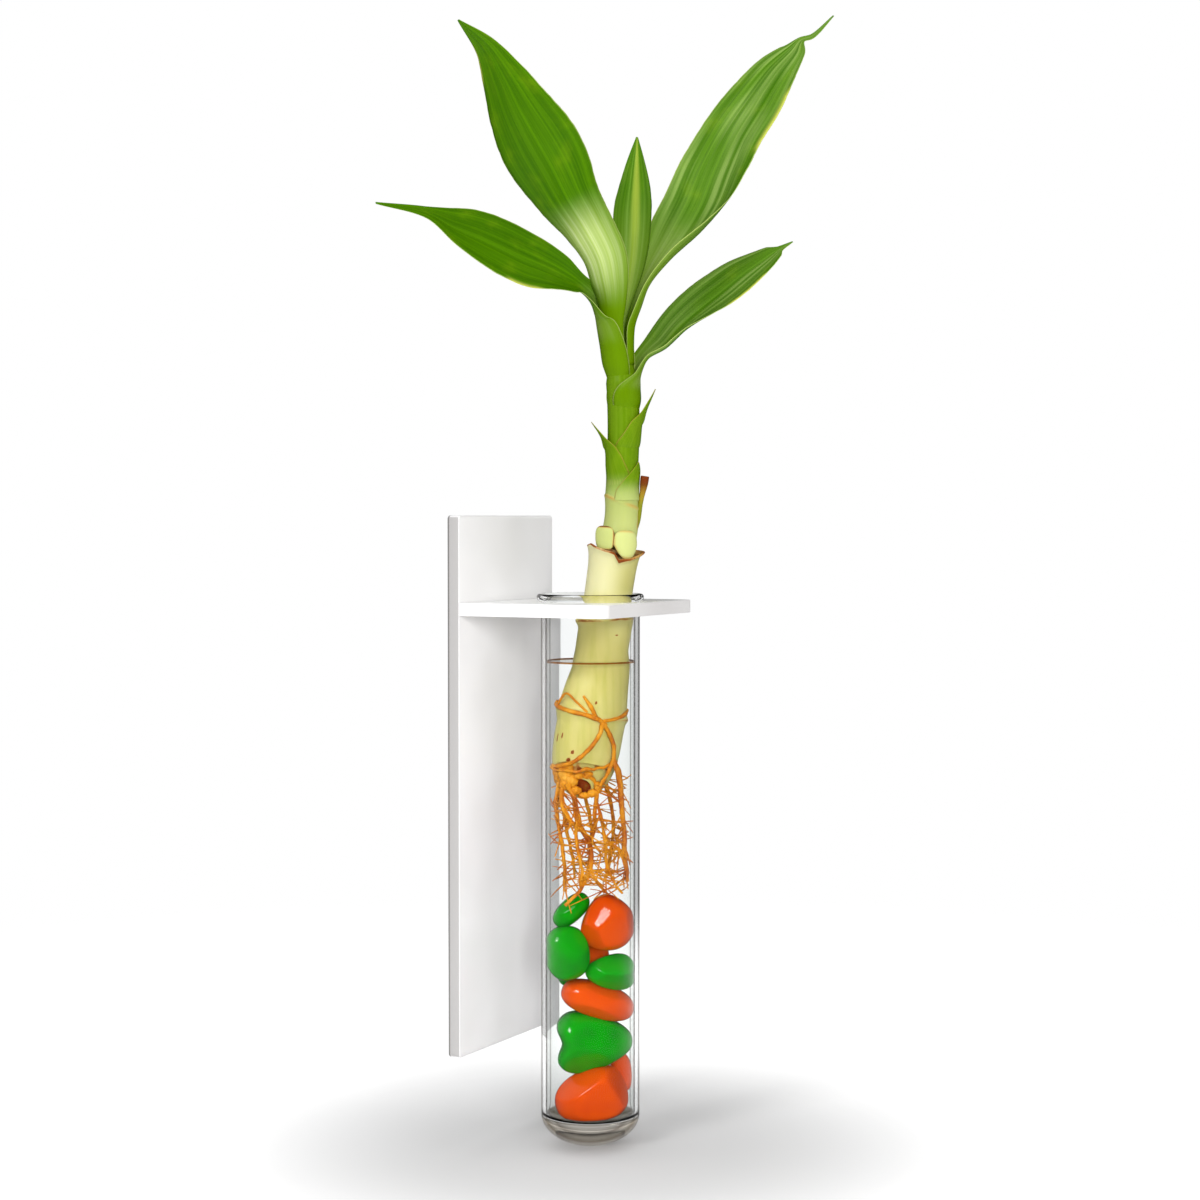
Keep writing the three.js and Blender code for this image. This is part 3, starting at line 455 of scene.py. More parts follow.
def studio_world():
    """White where it is seen, also through glass, and grey as a light.

    It is dark where a surface mirrors it, as between a studio's flags, but reflections within the
    glass wall stay light.
    """
    world = bpy.data.worlds.new("studio")
    world.use_nodes = True
    tree = world.node_tree
    tree.nodes.clear()
    path = add(tree, "ShaderNodeLightPath").outputs
    through, clear = path["Is Transmission Ray"], path["Transmission Depth"]
    turns = add(tree, MATH, {0: path["Ray Depth"], 1: clear}, operation="SUBTRACT")
    direct = add(tree, MATH, {0: turns, 1: 1 + ANY}, operation="LESS_THAN")
    looked = add(tree, MATH, {0: path["Is Camera Ray"], 1: through}, operation="MAXIMUM")
    seen = add(tree, MATH, {0: direct, 1: looked}, operation="MULTIPLY")
    mirrored = add(tree, MATH, {0: path["Glossy Depth"], 1: ANY}, operation="GREATER_THAN")
    entered = add(tree, MATH, {0: clear, 1: ANY}, operation="GREATER_THAN")
    deeper = add(tree, MATH, {0: clear, 1: IN_TUBE}, operation="GREATER_THAN")
    inside = add(tree, MATH, {0: entered, 1: deeper}, operation="SUBTRACT")
    flagged = add(tree, MATH, {0: inside, 1: SKY_IN_WALL - SKY_MIRRORED, 2: SKY_MIRRORED - SKY_LIGHT},
                  operation="MULTIPLY_ADD")
    dimmed = add(tree, MATH, {0: mirrored, 1: flagged, 2: SKY_LIGHT}, operation="MULTIPLY_ADD")
    scattered = add(tree, MATH, {0: path["Diffuse Depth"], 1: ANY}, operation="GREATER_THAN")
    again = add(tree, MATH, {0: scattered, 1: through}, operation="MULTIPLY")
    lit = add(tree, MATH, {0: again, 1: SKY_THROUGH - SKY_LIGHT, 2: dimmed}, operation="MULTIPLY_ADD")
    strength = add(tree, MATH, {0: seen, 1: lit}, operation="MAXIMUM")
    sky = add(tree, "ShaderNodeBackground", {"Color": (1, 1, 1, 1), "Strength": strength})
    add(tree, "ShaderNodeOutputWorld", {"Surface": sky})
    return world


def board_material(shade):
    """Matt white board: dull, fading into the surroundings, with a painted glow that grows away from the tube
    and leaves a painted shadow under it.

    What stands in the tube mirrors a darker board, so that its colours stay strong.
    """
    material, tree = new_material("matt white board")
    where = add(tree, COORDINATES).outputs["Object"]
    away = add(tree, "ShaderNodeVectorMath", {0: where}, operation="LENGTH").outputs["Value"]
    fade = add(tree, EASE, {"Value": away, "From Min": 0.34, "From Max": 0.62}, **SOFT)
    matt = add(tree, "ShaderNodeBsdfDiffuse", {"Color": shade})
    # Painted glow away from the tube; under the tube it stays darker, as a painted shadow.
    painted_glow_strength = add(tree, EASE, {"Value": away, "From Min": 0.05, "From Max": 0.2, "To Max": 0.55}, **SOFT)
    painted_glow = add(tree, "ShaderNodeEmission", {"Color": (1, 1, 1, 1), "Strength": painted_glow_strength})
    board = add(tree, "ShaderNodeAddShader", {0: matt, 1: painted_glow})
    path = add(tree, "ShaderNodeLightPath").outputs
    mirrored = add(tree, MATH, {0: path["Glossy Depth"], 1: ANY}, operation="GREATER_THAN")
    deeper = add(tree, MATH, {0: path["Transmission Depth"], 1: IN_TUBE}, operation="GREATER_THAN")
    hidden = add(tree, MATH, {0: mirrored, 1: deeper}, operation="MULTIPLY")
    dim = add(tree, "ShaderNodeEmission", {"Color": (1, 1, 1, 1), "Strength": 0.1})
    board = add(tree, BLEND, {"Fac": hidden, 1: board, 2: dim})
    nothing = add(tree, SEE_THROUGH)
    mixed = add(tree, BLEND, {"Fac": fade, 1: board, 2: nothing})
    add(tree, OUTPUT, {"Surface": mixed})
    return material


class BAMBOO_OT_stage(bpy.types.Operator):
    """Make the camera, the lights and the floor"""
    bl_idname = "bamboo.stage"
    bl_label = "Stage"

    def execute(self, context):
        settings, scene = context.scene.bamboo_stage, context.scene
        scene.view_settings.view_transform = "Standard"
        point_camera(scene, settings.distance)
        hang_lamp(scene, "key", (-1.0, -1.2, 1.0), (0.45, 0.6), settings.key, through=True)
        hang_lamp(scene, "fill", (0.3, -1.7, 0.2), (0.7, 0.7), settings.fill, mirrored=False)
        hang_lamp(scene, "panel", (1.3, -0.8, 0.1), (0.35, 1.6), settings.fill * 0.05)
        hang_lamp(scene, "top", (0.0, -0.2, 1.9), (1.2, 1.2), settings.key, mirrored=False)
        scene.world = studio_world()
        points, faces = turned([(0, 0), (FLOOR_RADIUS, 0)], 96)
        mesh = bpy.data.meshes.new("floor")
        mesh.from_pydata((points * MM).tolist(), [], faces)
        mesh.materials.append(board_material(settings.floor))
        floor = bpy.data.objects.new("floor", mesh)
        floor.location = Vector((0, TUBE_AXIS.y, TUBE_AXIS.z - FLOOR_DROP)) * MM
        scene.collection.objects.link(floor)
        return {"FINISHED"}


# ---------------------------------------------------------------- bracket

def arc(x, y, radius, start, end, steps):
    """Points on an arc, angles in degrees, with the outward direction at each."""
    turns = np.radians(np.linspace(start, end, steps + 1))
    return [(x + radius * math.cos(turn), y + radius * math.sin(turn), math.cos(turn), math.sin(turn))
            for turn in turns]


def sheet_outline(width, depth, back, front, steps=10):
    """The outline of a sheet from y = 0 to y = -depth, with its own radius at each end."""
    half = width / 2
    return [
        *arc(-half + back, -back, back, 90, 180, steps),
        *arc(-half + front, -depth + front, front, 180, 270, steps),
        *arc(half - front, -depth + front, front, 270, 360, steps),
        *arc(half - back, -back, back, 0, 90, steps),
    ]


def sheet_rings(outline, thickness, edge, steps=4, hole=False):
    """Loops round an edge that is rounded by edge, from its lower face to its upper one."""
    turns = np.radians(np.linspace(-90, 0, steps + 1))
    levels = [(edge * (1 - math.cos(a)), edge * (1 + math.sin(a))) for a in turns]
    levels += [(inset, thickness - height) for inset, height in reversed(levels)]
    sign = 1 if hole else -1
    return [[(x + sign * nx * inset, y + sign * ny * inset, z) for x, y, nx, ny in outline]
            for inset, z in levels]


def sheet_mesh(outline, thickness, edge, hole=None):
    """Points and faces of a sheet with rounded edges, also round its hole if it has one."""
    bm = bmesh.new()
    ends = [[], []]
    for loop, is_hole in ((outline, False), (hole, True)):
        if loop is None:
            continue
        levels = [[bm.verts.new(p) for p in ring]
                  for ring in sheet_rings(loop, thickness, edge, hole=is_hole)]
        for low, high in zip(levels, levels[1:]):
            for c in range(len(low)):
                d = (c + 1) % len(low)
                bm.faces.new((low[c], low[d], high[d], high[c]))
        for end, ring in zip(ends, (levels[0], levels[-1])):
            end += [bm.edges.get((ring[c], ring[(c + 1) % len(ring)])) for c in range(len(ring))]
    for end in ends:
        bmesh.ops.triangle_fill(bm, use_beauty=True, edges=end)
    bm.verts.index_update()
    points = np.array([v.co for v in bm.verts])
    faces = [tuple(v.index for v in f.verts) for f in bm.faces]
    bm.free()
    return points, faces


def acrylic(name, face, edge, top):
    """White acrylic sheet, laser-cut and flame-polished: evenly white, with a soft broad sheen.

    Its faces keep a faint mottle, 40 mm wide, from casting. Faces that look along X take the edge colour,
    painted shade on the plate's sides and painted light on the shelf's; faces that look up take the top
    colour, painted light on the shelf's top. A thin dark line of painted shadow lies where the sheet
    meets the wall.
    """
    material, tree = new_material(name)
    where = add(tree, COORDINATES).outputs["Object"]
    cloud = add(tree, NOISE, {"Vector": where, "Scale": 22, "Detail": 2})
    grain = add(tree, NOISE, {"Vector": where, "Scale": 900, "Detail": 2})
    shade = (face[0] * 0.93, face[1] * 0.925, face[2] * 0.92, 1)
    patch = add(tree, EASE, {"Value": cloud, "From Min": 0.35, "From Max": 0.7}, **SOFT)
    body = add(tree, MIX, {"Factor": patch, "A": face, "B": shade}, **RGBA)
    normal = add(tree, "ShaderNodeNewGeometry").outputs["Normal"]
    ways = add(tree, "ShaderNodeSeparateXYZ", {0: normal}).outputs
    facing = {"From Min": 0.6, "From Max": 0.95}
    # Painted shade and light: faces that look along X take the edge colour, faces that look up the top
    # colour.
    painted_side_light_and_shade = add(tree, MATH, {0: ways["X"]}, operation="ABSOLUTE")
    side = add(tree, EASE, {"Value": painted_side_light_and_shade, **facing}, **SOFT)
    body = add(tree, MIX, {"Factor": side, "A": body, "B": edge}, **RGBA)
    up = add(tree, EASE, {"Value": ways["Z"], **facing}, **SOFT)
    body = add(tree, MIX, {"Factor": up, "A": body, "B": top}, **RGBA)
    # A painted shadow: the dark line lies on the edges only, within about 1 mm of the wall.
    depth = add(tree, "ShaderNodeSeparateXYZ", {0: where}).outputs["Y"]
    behind = add(tree, EASE, {
        "Value": depth, "From Min": -0.0011, "From Max": -0.0006, "To Max": 0.75}, **SOFT)
    flat = add(tree, MATH, {0: ways["Y"]}, operation="ABSOLUTE")
    edgewise = add(tree, EASE, {"Value": flat, **facing, "To Min": 1.0, "To Max": 0.0}, **SOFT)
    line = add(tree, MATH, {0: behind, 1: edgewise}, operation="MULTIPLY")
    body = add(tree, MIX, {"Factor": line, "A": body, "B": shown("#5c5a58")}, **RGBA)
    skin = add(tree, BUMP, {"Height": grain, "Distance": 0.00002, "Strength": 0.25})
    surface = add(tree, SURFACE, {"Base Color": body, "Normal": skin, "Roughness": 0.32, "IOR": 1.49})
    add(tree, OUTPUT, {"Surface": surface})
    return material


PLATE_CORNER = 1.5
SHELF_CORNERS = 0.5, 3              # radius of the shelf's corners at the plate and in front


class BAMBOO_OT_bracket(bpy.types.Operator):
    """Make the back plate and the shelf with its hole"""
    bl_idname = "bamboo.bracket"
    bl_label = "Bracket"

    def execute(self, context):
        settings = context.scene.bamboo_bracket
        width, height = settings.plate_width / MM, settings.plate_height / MM
        sheet, depth = settings.sheet / MM, settings.shelf_depth / MM
        points, faces = sheet_mesh(sheet_outline(width, height, PLATE_CORNER, PLATE_CORNER), sheet, 0.45)
        stood = Matrix.Rotation(math.pi / 2, 4, "X") @ Matrix.Translation((0, height / 2, 0))
        plate = acrylic("white acrylic plate", settings.face, settings.edge, settings.face)
        make_piece("plate", points, faces, [plate], ["back_plate"], stood, sharp=50)
        hole = arc(0, TUBE_AXIS.y + sheet, HOLE_RADIUS, 0, 360, 96)[:-1]
        points, faces = sheet_mesh(sheet_outline(width, depth, *SHELF_CORNERS), sheet, 0.3, hole)
        laid = Matrix.Translation((0, -sheet, TUBE_AXIS.z - sheet))
        # The shelf's faces are painted greyer, its sides lighter and its top white: painted shade and light
        # on one acrylic.
        shelf = acrylic("white acrylic shelf", shown("#dcdad9"), shown("#ececec"), shown("#ffffff"))
        make_piece("shelf", points, faces, [shelf], ["tube_shelf"], laid, sharp=50)
        return {"FINISHED"}


# ---------------------------------------------------------------- test tube and water

GLASS_IOR = 1.47                    # of borosilicate glass
BOWL_RISE = 5.5                     # height of the rounded bottom of the bore
BASE_TOP = 12.5                     # up to here above the bottom the glass counts as the base
CLIMB = 0.35                        # how far the water climbs the glass


def bowl(radius, rise, bottom, count):
    """A quarter of an ellipse as (radius, height), from the axis outwards and up."""
    turns = np.linspace(0, math.pi / 2, count + 1)
    return [(radius * math.sin(a), bottom + rise * (1 - math.cos(a))) for a in turns]


def clear_material(name, stops, ior, shade, glint=0.1):
    """Clear stuff that light passes: see-through for shadows, with a painted dark reflection where it is seen
    edge-on.

    A low glint keeps the colours of what stands behind it strong.
    """
    material, tree = new_material(name)
    facing = add(tree, "ShaderNodeLayerWeight", {"Blend": 0.5}).outputs["Facing"]
    body = add(tree, RAMP, {"Fac": facing}, stops=stops)
    glass = add(tree, SURFACE, {
        "Base Color": body, "Roughness": 0.0, "IOR": ior, "Transmission Weight": 1.0,
        "Specular Tint": (glint, glint, glint, 1)})
    nothing = add(tree, SEE_THROUGH, {"Color": shade})
    path = add(tree, "ShaderNodeLightPath")
    mixed = add(tree, BLEND, {"Fac": path.outputs["Is Shadow Ray"], 1: glass, 2: nothing})
    add(tree, OUTPUT, {"Surface": mixed})
    return material


class BAMBOO_OT_tube(bpy.types.Operator):
    """Make the glass test tube"""
    bl_idname = "bamboo.tube"
    bl_label = "Test tube"

    def execute(self, context):
        settings = context.scene.bamboo_tube
        radius, bore = settings.radius / MM, settings.bore / MM
        bottom = -settings.depth / MM
        rim, lip = 20.6, 3.0
        # A drawn lip: the wall swells out over the shelf and rolls back into the bore.
        profile = [
            *bowl(radius, 12, bottom, 24),
            *((radius, z) for z in np.linspace(bottom + 20, -2, 12)),
            (radius, 0.02), (radius + 0.7, 0.1), (radius + 1.2, 0.45), (rim - 0.05, 1.0),
            (rim, 1.7), (rim - 0.15, 2.4), (rim - 0.6, 2.85), (rim - 1.2, lip), (rim - 1.9, 2.85),
            (bore + 0.8, 2.3), (bore + 0.3, 1.5), (bore, 0.4),
            *((bore, z) for z in np.linspace(-2, bottom + 15, 12)),
            *reversed(bowl(bore, BOWL_RISE, bottom + BASE_THICKNESS, 16)),
        ]
        points, faces = turned(profile, 128)
        # Borosilicate glass, drawn and flame-rounded: clear, with a painted dark reflection where its wall is
        # seen along it.
        clear, edge = shown("#fcfdfd"), settings.edge[:]
        shade = shown("#f9f9f9")
        glass = clear_material("clear borosilicate glass", [
            (0.0, clear), (0.52, clear), (0.57, edge), (0.62, clear), (0.7, clear), (0.8, edge),
            (1.0, edge)], GLASS_IOR, shade)
        # The lip bends light less than it would, so that it stays as light as in the photograph; its grey
        # where seen edge-on is a painted reflection.
        lip_glass = clear_material("clear glass lip", [
            (0.0, clear), (0.86, clear), (1.0, shown("#d8dcda"))], 1.13, shade, 1.0)
        # The base is 8 mm thick; its greyish brown bands, by how squarely it is seen, are painted reflections
        # and shade.
        base_glass = clear_material("thick glass base", [
            (0.12, shown("#c2bcb2")), (0.3, shown("#5c5247")), (0.4, shown("#beb5a6")),
            (0.6, shown("#6a5a40")), (0.7, shown("#d2c9bc")), (1.0, shown("#3c332a"))], GLASS_IOR, shade, 1.0)
        heights = points[:, 2]
        finish = [1 if min(heights[i] for i in face) > 0.01 else
                  2 if max(heights[i] for i in face) < bottom + BASE_TOP else 0 for face in faces]
        make_piece("test_tube", points, faces, [glass, lip_glass, base_glass],
                   ["glass_tube"], finish_of=finish)
        return {"FINISHED"}


class BAMBOO_OT_water(bpy.types.Operator):
    """Make the water in the tube, with its rim at the glass"""
    bl_idname = "bamboo.water"
    bl_label = "Water"

    def execute(self, context):
        settings = context.scene.bamboo_tube
        radius = settings.bore / MM - 0.04
        level, floor = -settings.water_level / MM, -settings.depth / MM + BASE_THICKNESS + 0.05
        # The water climbs the glass by CLIMB in a hollow curve.
        points, faces = turned([
            *bowl(radius, BOWL_RISE, floor, 16),
            *((radius, z) for z in np.linspace(floor + 12, level - CLIMB, 6)),
            (radius, level + CLIMB), (radius - 0.2, level + 0.16), (radius - 0.5, level + 0.05),
            (radius - 1.0, level), (radius - 6, level), (0, level)], 96)
        # Tap water, still: clear, with a brownish line where it climbs the glass. Its index is
        # kept near that of air, because the photograph shows what stands in it undistorted.
        water = clear_material("still water", [(0.0, shown("#fdfefd")), (1.0, shown("#f0f3f0"))], 1.01,
                               shown("#fefefe"))
        # The surface is seen almost edge-on: a gloss over a grey painted in patches 5 to 10 mm wide, a
        # painted reflection.
        surface, tree = new_material("water surface")
        where = add(tree, COORDINATES).outputs["Object"]
        cloud = add(tree, NOISE, {"Vector": where, "Scale": 120})
        painted_reflection = add(tree, RAMP, {"Fac": cloud}, stops=[(0.3, shown("#c9c5ba")), (0.7, shown("#e8e6e0"))])
        thin = add(tree, SEE_THROUGH, {"Color": shown("#f2f2ef")})
        gloss = add(tree, SURFACE, {"Base Color": painted_reflection, "Roughness": 0.08, "IOR": 1.33})
        mixed = add(tree, BLEND, {"Fac": 0.35, 1: thin, 2: gloss})
        add(tree, OUTPUT, {"Surface": mixed})
        # The rim where the water climbs the glass is tinted brown.
        line, tree = new_material("water rim")
        thin = add(tree, SEE_THROUGH, {"Color": shown("#d2ae80")})
        gloss = add(tree, SURFACE, {"Base Color": settings.line, "Roughness": 0.15, "IOR": 1.33})
        mixed = add(tree, BLEND, {"Fac": 0.6, 1: thin, 2: gloss})
        add(tree, OUTPUT, {"Surface": mixed})
        heights = points[:, 2]
        finish = []
        for face in faces:
            lowest = min(heights[i] for i in face)
            reach = max(math.hypot(points[i][0], points[i][1]) for i in face)
            finish.append(0 if lowest < level - 0.4 else (1 if reach < radius - 0.6 else 2))
        make_piece("water_body", points, faces, [water, surface, line], ["water"],
                   finish_of=finish, sharp=30)
        return {"FINISHED"}


# ---------------------------------------------------------------- cane

# The cane as rows of [x, y, z, radius], from its cut end up.
CANE = [
    [-3.6, -8.3, -70.6, 4.9], [-3.3, -5.0, -68.6, 8.4], [-2.9, -2.2, -65.6, 11.2],
    [-2.2, -1.0, -60.7, 12.4], [-1.1, -0.9, -53.8, 12.9], [0.2, -0.9, -46.8, 13.0],
    [0.6, -0.8, -43.2, 13.5], [1.2, -0.7, -39.9, 12.9], [2.4, -0.4, -34.1, 12.1],
    [3.9, 0, -26.8, 11.1], [4.2, 0.2, -22.9, 10.9], [4.6, 0.4, -17.9, 10.2], [5.6, 0.8, -11.0, 10.3],
    [5.8, 1.0, -7.2, 10.9], [6.4, 1.1, -2.0, 9.5], [7.1, 1.3, 3.6, 9.2], [8.4, 1.4, 13.2, 9.4],
    [9.0, 1.0, 17.0, 9.8], [9.5, 0.4, 20.1, 10.6],
]

CANE_TOP = CANE[-1][2]

# The torn edge on the cane's top: degrees round the cane, from +X towards +Y, and its height.
TOP_EDGE = [
    (-180, 21.5), (-150, 22.3), (-132, 21.0), (-114, 19.9), (-92, 18.9), (-87, 17.6), (-82, 15.8),
    (-76, 16.2), (-58, 16.4), (-30, 17.9), (0, 19.1), (60, 19.6), (120, 20.6), (180, 21.5),
]

# Leaf scars round the cane: height, tilt towards +X, half height of the band and its darkness.
SCAR_RINGS = [(-6.9, 0.6, 0.75, 0.75), (-43.0, -2.6, 0.9, 0.6)]

# Dark spots: degrees round the cane, height, half width, half height.
SPOTS = [
    (-138, -50.6, 0.5, 1.0), (-150, -51.6, 0.3, 1.6), (-112, -56.8, 0.7, 0.8), (-118, -59.8, 1.0, 1.1),
    (-86, -38.0, 0.4, 0.7), (-96, -38.4, 0.3, 0.5), (-64, -12.6, 0.4, 0.4), (-100, -63.4, 1.8, 0.7),
]


def cane_material(settings):
    """Peeled bamboo-like cane: smooth, waxy and pale, with streaks 2 mm wide along it.

    The skin has a soft sheen and lets a little light in; rings and scars are corky and dull.
    """
    material, tree = new_material("waxy pale cane")
    where = add(tree, COORDINATES).outputs["Object"]
    along = add(tree, STRETCH, {"Vector": where, "Scale": (1, 1, 0.06)})
    streak = add(tree, NOISE, {"Vector": along, "Scale": 420, "Detail": 4})
    slow = add(tree, STRETCH, {"Vector": where, "Scale": (1, 1, 0.5)})
    cloud = add(tree, NOISE, {"Vector": slow, "Scale": 60, "Detail": 3})
    speck = add(tree, NOISE, {"Vector": where, "Scale": 900, "Detail": 3})
    fleck = add(tree, NOISE, {"Vector": where, "Scale": 240, "Detail": 5, "Roughness": 0.65})
    stained, cut, air, painted_shade_side = (
        add(tree, ATTRIBUTE, attribute_name=name).outputs["Fac"]
        for name in ("stain", "cut", "air", "olive"))

    streaks = add(tree, EASE, {"Value": streak, "From Min": 0.4, "From Max": 0.8, "To Max": 0.6}, **SOFT)
    body = add(tree, MIX, {"Factor": streaks, "A": settings.cane, "B": settings.cane_olive}, **RGBA)
    patch = add(tree, EASE, {"Value": cloud, "From Min": 0.45, "From Max": 0.8, "To Max": 0.7}, **SOFT)
    body = add(tree, MIX, {"Factor": patch, "A": body, "B": shown("#e8e2a0")}, **RGBA)
    paler = add(tree, MATH, {0: air, 1: 0.75}, operation="MULTIPLY")
    body = add(tree, MIX, {"Factor": paler, "A": body, "B": shown("#dedcb2")}, **RGBA)
    # Painted shade: the side turned away from the key light is a darker olive, more so above the tube's
    # mouth.
    varied = add(tree, MATH, {0: cloud, 1: 0.55, 2: 0.36}, operation="MULTIPLY_ADD")
    shaded = add(tree, EASE, {"Value": air, "To Min": 0.3, "To Max": 1.0})
    olive = add(tree, MATH, {0: painted_shade_side, 1: varied}, operation="MULTIPLY")
    olive = add(tree, MATH, {0: olive, 1: shaded}, operation="MULTIPLY")
    body = add(tree, MIX, {"Factor": olive, "A": body, "B": shown("#a6a03a")}, **RGBA)

    # Stains run from orange to dark brown and break up in flecks.
    broken = add(tree, MATH, {0: fleck, 1: 0.9, 2: -0.45}, operation="MULTIPLY_ADD")
    stain = add(tree, MATH, {0: stained, 1: broken}, operation="ADD")
    warm = add(tree, EASE, {"Value": stain, "From Min": 0.22, "From Max": 0.75}, **SOFT)
    brown = add(tree, RAMP, {"Fac": warm}, stops=[
        (0.0, shown("#e0a850")), (0.5, settings.scar), (1.0, shown("#84400f"))])
    body = add(tree, MIX, {"Factor": warm, "A": body, "B": brown}, **RGBA)
    pith = add(tree, RAMP, {"Fac": fleck}, stops=[
        (0.35, shown("#5a1e0c")), (0.6, shown("#8f3d14")), (0.8, shown("#8f8a2c"))])
    body = add(tree, MIX, {"Factor": cut, "A": body, "B": pith}, **RGBA)

    relief = add(tree, MIX, {"Factor": warm, "A": streak, "B": speck}, data_type="FLOAT")
    skin = add(tree, BUMP, {"Height": relief, "Distance": 0.00012, "Strength": 0.5})
    dull = add(tree, MATH, {0: warm, 1: 0.3, 2: 0.38}, operation="MULTIPLY_ADD")
    surface = add(tree, SURFACE, {
        "Base Color": body, "Roughness": dull, "Normal": skin, "IOR": 1.45, "Specular IOR Level": 0.35,
        "Subsurface Weight": 0.12, "Subsurface Scale": 0.004, "Subsurface Radius": (1.0, 0.8, 0.35)})
    add(tree, OUTPUT, {"Surface": surface})
    return material


def cane_skin(run, sides=120, steps=260):
    """Rings of points on the cane, the degrees round it of each and how stained it is."""
    points, places = rings(run, lambda t: max(run.value(3, t), 0.5), sides, steps)
    centres = np.array([run.point(t) for t in places])
    away = points - centres[:, None, :]
    distance = np.linalg.norm(away, axis=2)
    turn = np.degrees(np.arctan2(away[..., 1], away[..., 0]))
    height = np.repeat(centres[:, 2:], sides, axis=1)
    stain, swell = np.zeros_like(turn), np.zeros_like(turn)
    for level, tilt, half, dark in SCAR_RINGS:
        middle = level + tilt * np.cos(np.radians(turn))
        wander = np.array([[rough(p, 6.0, level) for p in row] for row in points])
        gap = (points[..., 2] - middle) / half - 0.9 * wander
        swell += 0.55 * np.exp(-(gap / 1.3) ** 2)
        stain += dark * np.exp(-(gap / 0.9) ** 2) * (0.75 + 0.5 * wander)
    fine = np.array([[rough(p, 2.2, 4.0) for p in row] for row in points])
    slow = np.array([[rough(p, 9.0, 9.0) for p in row] for row in points])
    # The top flares into a lip and follows the torn edge.
    top = np.interp(turn, *zip(*TOP_EDGE))
    points[..., 2] += smoothstep(height, 9.0, CANE_TOP) * (top - points[-1, :, 2])
    right = 0.5 + 0.5 * np.cos(np.radians(turn))
    swell += (0.2 + 0.9 * right) * smoothstep(height, CANE_TOP - 2.5, CANE_TOP) ** 2 + 0.12 * slow
    notch = np.exp(-((turn + 80) / 12.0) ** 2)
    stain += (0.6 + 0.7 * notch) * smoothstep(height, 19.3 - 0.9 * notch + 0.25 * fine, 19.9)
    stain += 0.3 * smoothstep(height, 17.5, 20.0) * np.clip(fine, 0, 1)
    for spot_turn, spot_height, wide, high in SPOTS:
        around = np.radians((turn - spot_turn + 180) % 360 - 180) * distance
        gap = np.hypot(around / wide, (points[..., 2] - spot_height) / high) + 0.4 * fine
        stain += 1.0 - smoothstep(gap, 0.7, 1.25)
    stain += 0.5 * smoothstep(-height, 60.0, 68.0) * (0.6 + fine)
    return points + away / distance[..., None] * swell[..., None], turn, stain


# The cut end is a corky ring round a sunken face, and the top closes inwards, under the scales.
# Each ring inside the edge: its share of the edge's width, and how far out it lies along the cane.
CUT_END = [(0.02, -0.5), (0.35, -0.75), (0.6, -0.8), (0.74, -0.55), (0.82, 0.2), (0.9, 0.55)]
CUT_END_STAIN = [0, 0, 0, 0, 0.35, 0.25]
SUNKEN = 4                          # the first rings of the cut end, which show the pith
LIP = [(0.97, 0.25), (0.9, 0.1), (0.84, -0.8), (0.6, -1.6), (0.1, -1.4)]
LIP_STAIN = 0.55


def rings_within(edge, axis, plan):
    """Rings inside an edge, each (share of the edge's width, way out along axis) of the plan."""
    middle = edge.mean(0)
    return np.array([middle + (edge - middle) * share + axis * out for share, out in plan])


class BAMBOO_OT_cane(bpy.types.Operator):
    """Make the cane with its rings, torn top edge and cut end"""
    bl_idname = "bamboo.cane"
    bl_label = "Cane"

    def execute(self, context):
        run = Run(CANE)
        skin, turn, stain = cane_skin(run)
        face = rings_within(skin[0], -run.tangent(0), CUT_END)
        lip = rings_within(skin[-1], UPWARDS, LIP)
        whole = np.concatenate([face, skin, lip])
        points, faces = capped(whole)
        level = np.ones((1, len(turn[0])))
        stain = np.concatenate([*(dark * level for dark in CUT_END_STAIN), stain,
                                *([LIP_STAIN * level] * len(LIP))])
        cut = np.zeros_like(stain)
        cut[:SUNKEN] = 1.0
        spin = np.concatenate([*([turn[:1]] * len(face)), turn, *([turn[-1:]] * len(lip))])
        numbers = {
            "stain": [*stain.ravel(), 0.0, 1.0],
            "cut": [*cut.ravel(), 1.0, 0.0],
            "air": [*smoothstep(whole[..., 2], -2.0, 6.0).ravel(), 0.0, 1.0],
            # Painted shade on the side turned away from the key light.
            "olive": [*(0.15 + 0.85 * smoothstep(np.cos(np.radians(spin + 10)), -0.15, 0.9)).ravel(),
                      0.5, 0.5],
        }
        make_piece("cane_stem", points, faces, [cane_material(context.scene.bamboo_plant)],
                   ["cane"], numbers=numbers)
        return {"FINISHED"}


# ---------------------------------------------------------------- shoot and leaves

# The shoot as rows of [x, y, z, radius], and the line that its sheaths wrap, which runs on above it.
SHOOT = [
    [9.7, 0.3, 20.6, 6.6], [11.2, 1.2, 26.0, 6.9], [12.1, 1.8, 32.0, 6.7], [12.2, 2.0, 37.0, 6.9],
    [12.1, 2.0, 39.5, 7.3], [12.1, 2.0, 41.0, 7.0], [12.1, 2.0, 42.0, 4.2], [12.4, 2.0, 52.0, 4.2],
    [12.8, 2.0, 66.0, 4.2], [12.5, 2.0, 80.0, 4.2], [11.6, 2.0, 91.0, 4.0], [11.1, 2.0, 98.0, 3.4],
]
STEM = Run([*SHOOT, [10.6, 1.6, 106.0, 0], [10.8, 1.2, 113.0, 0], [11.5, 0.8, 121.0, 0]])

# The two scales that stand in the cane's torn top, round the shoot's foot: where each is centred
# and how far it spreads, in degrees round the cane, its middle and half height, how it leans and
# narrows downwards, and how dry its edge and how pale it is.
BUDS = {
    "bud_left": {"heading": -121, "wrap": 29, "middle": 24.4, "half": 4.7, "lean": 0.2, "point": 0.1,
                 "dry": 0.9, "pale": 0.8},
    "bud_right": {"heading": -60, "wrap": 36, "middle": 21.8, "half": 5.5, "lean": 0.3, "point": 0.45,
                  "dry": 0.4, "pale": 1.0},
}

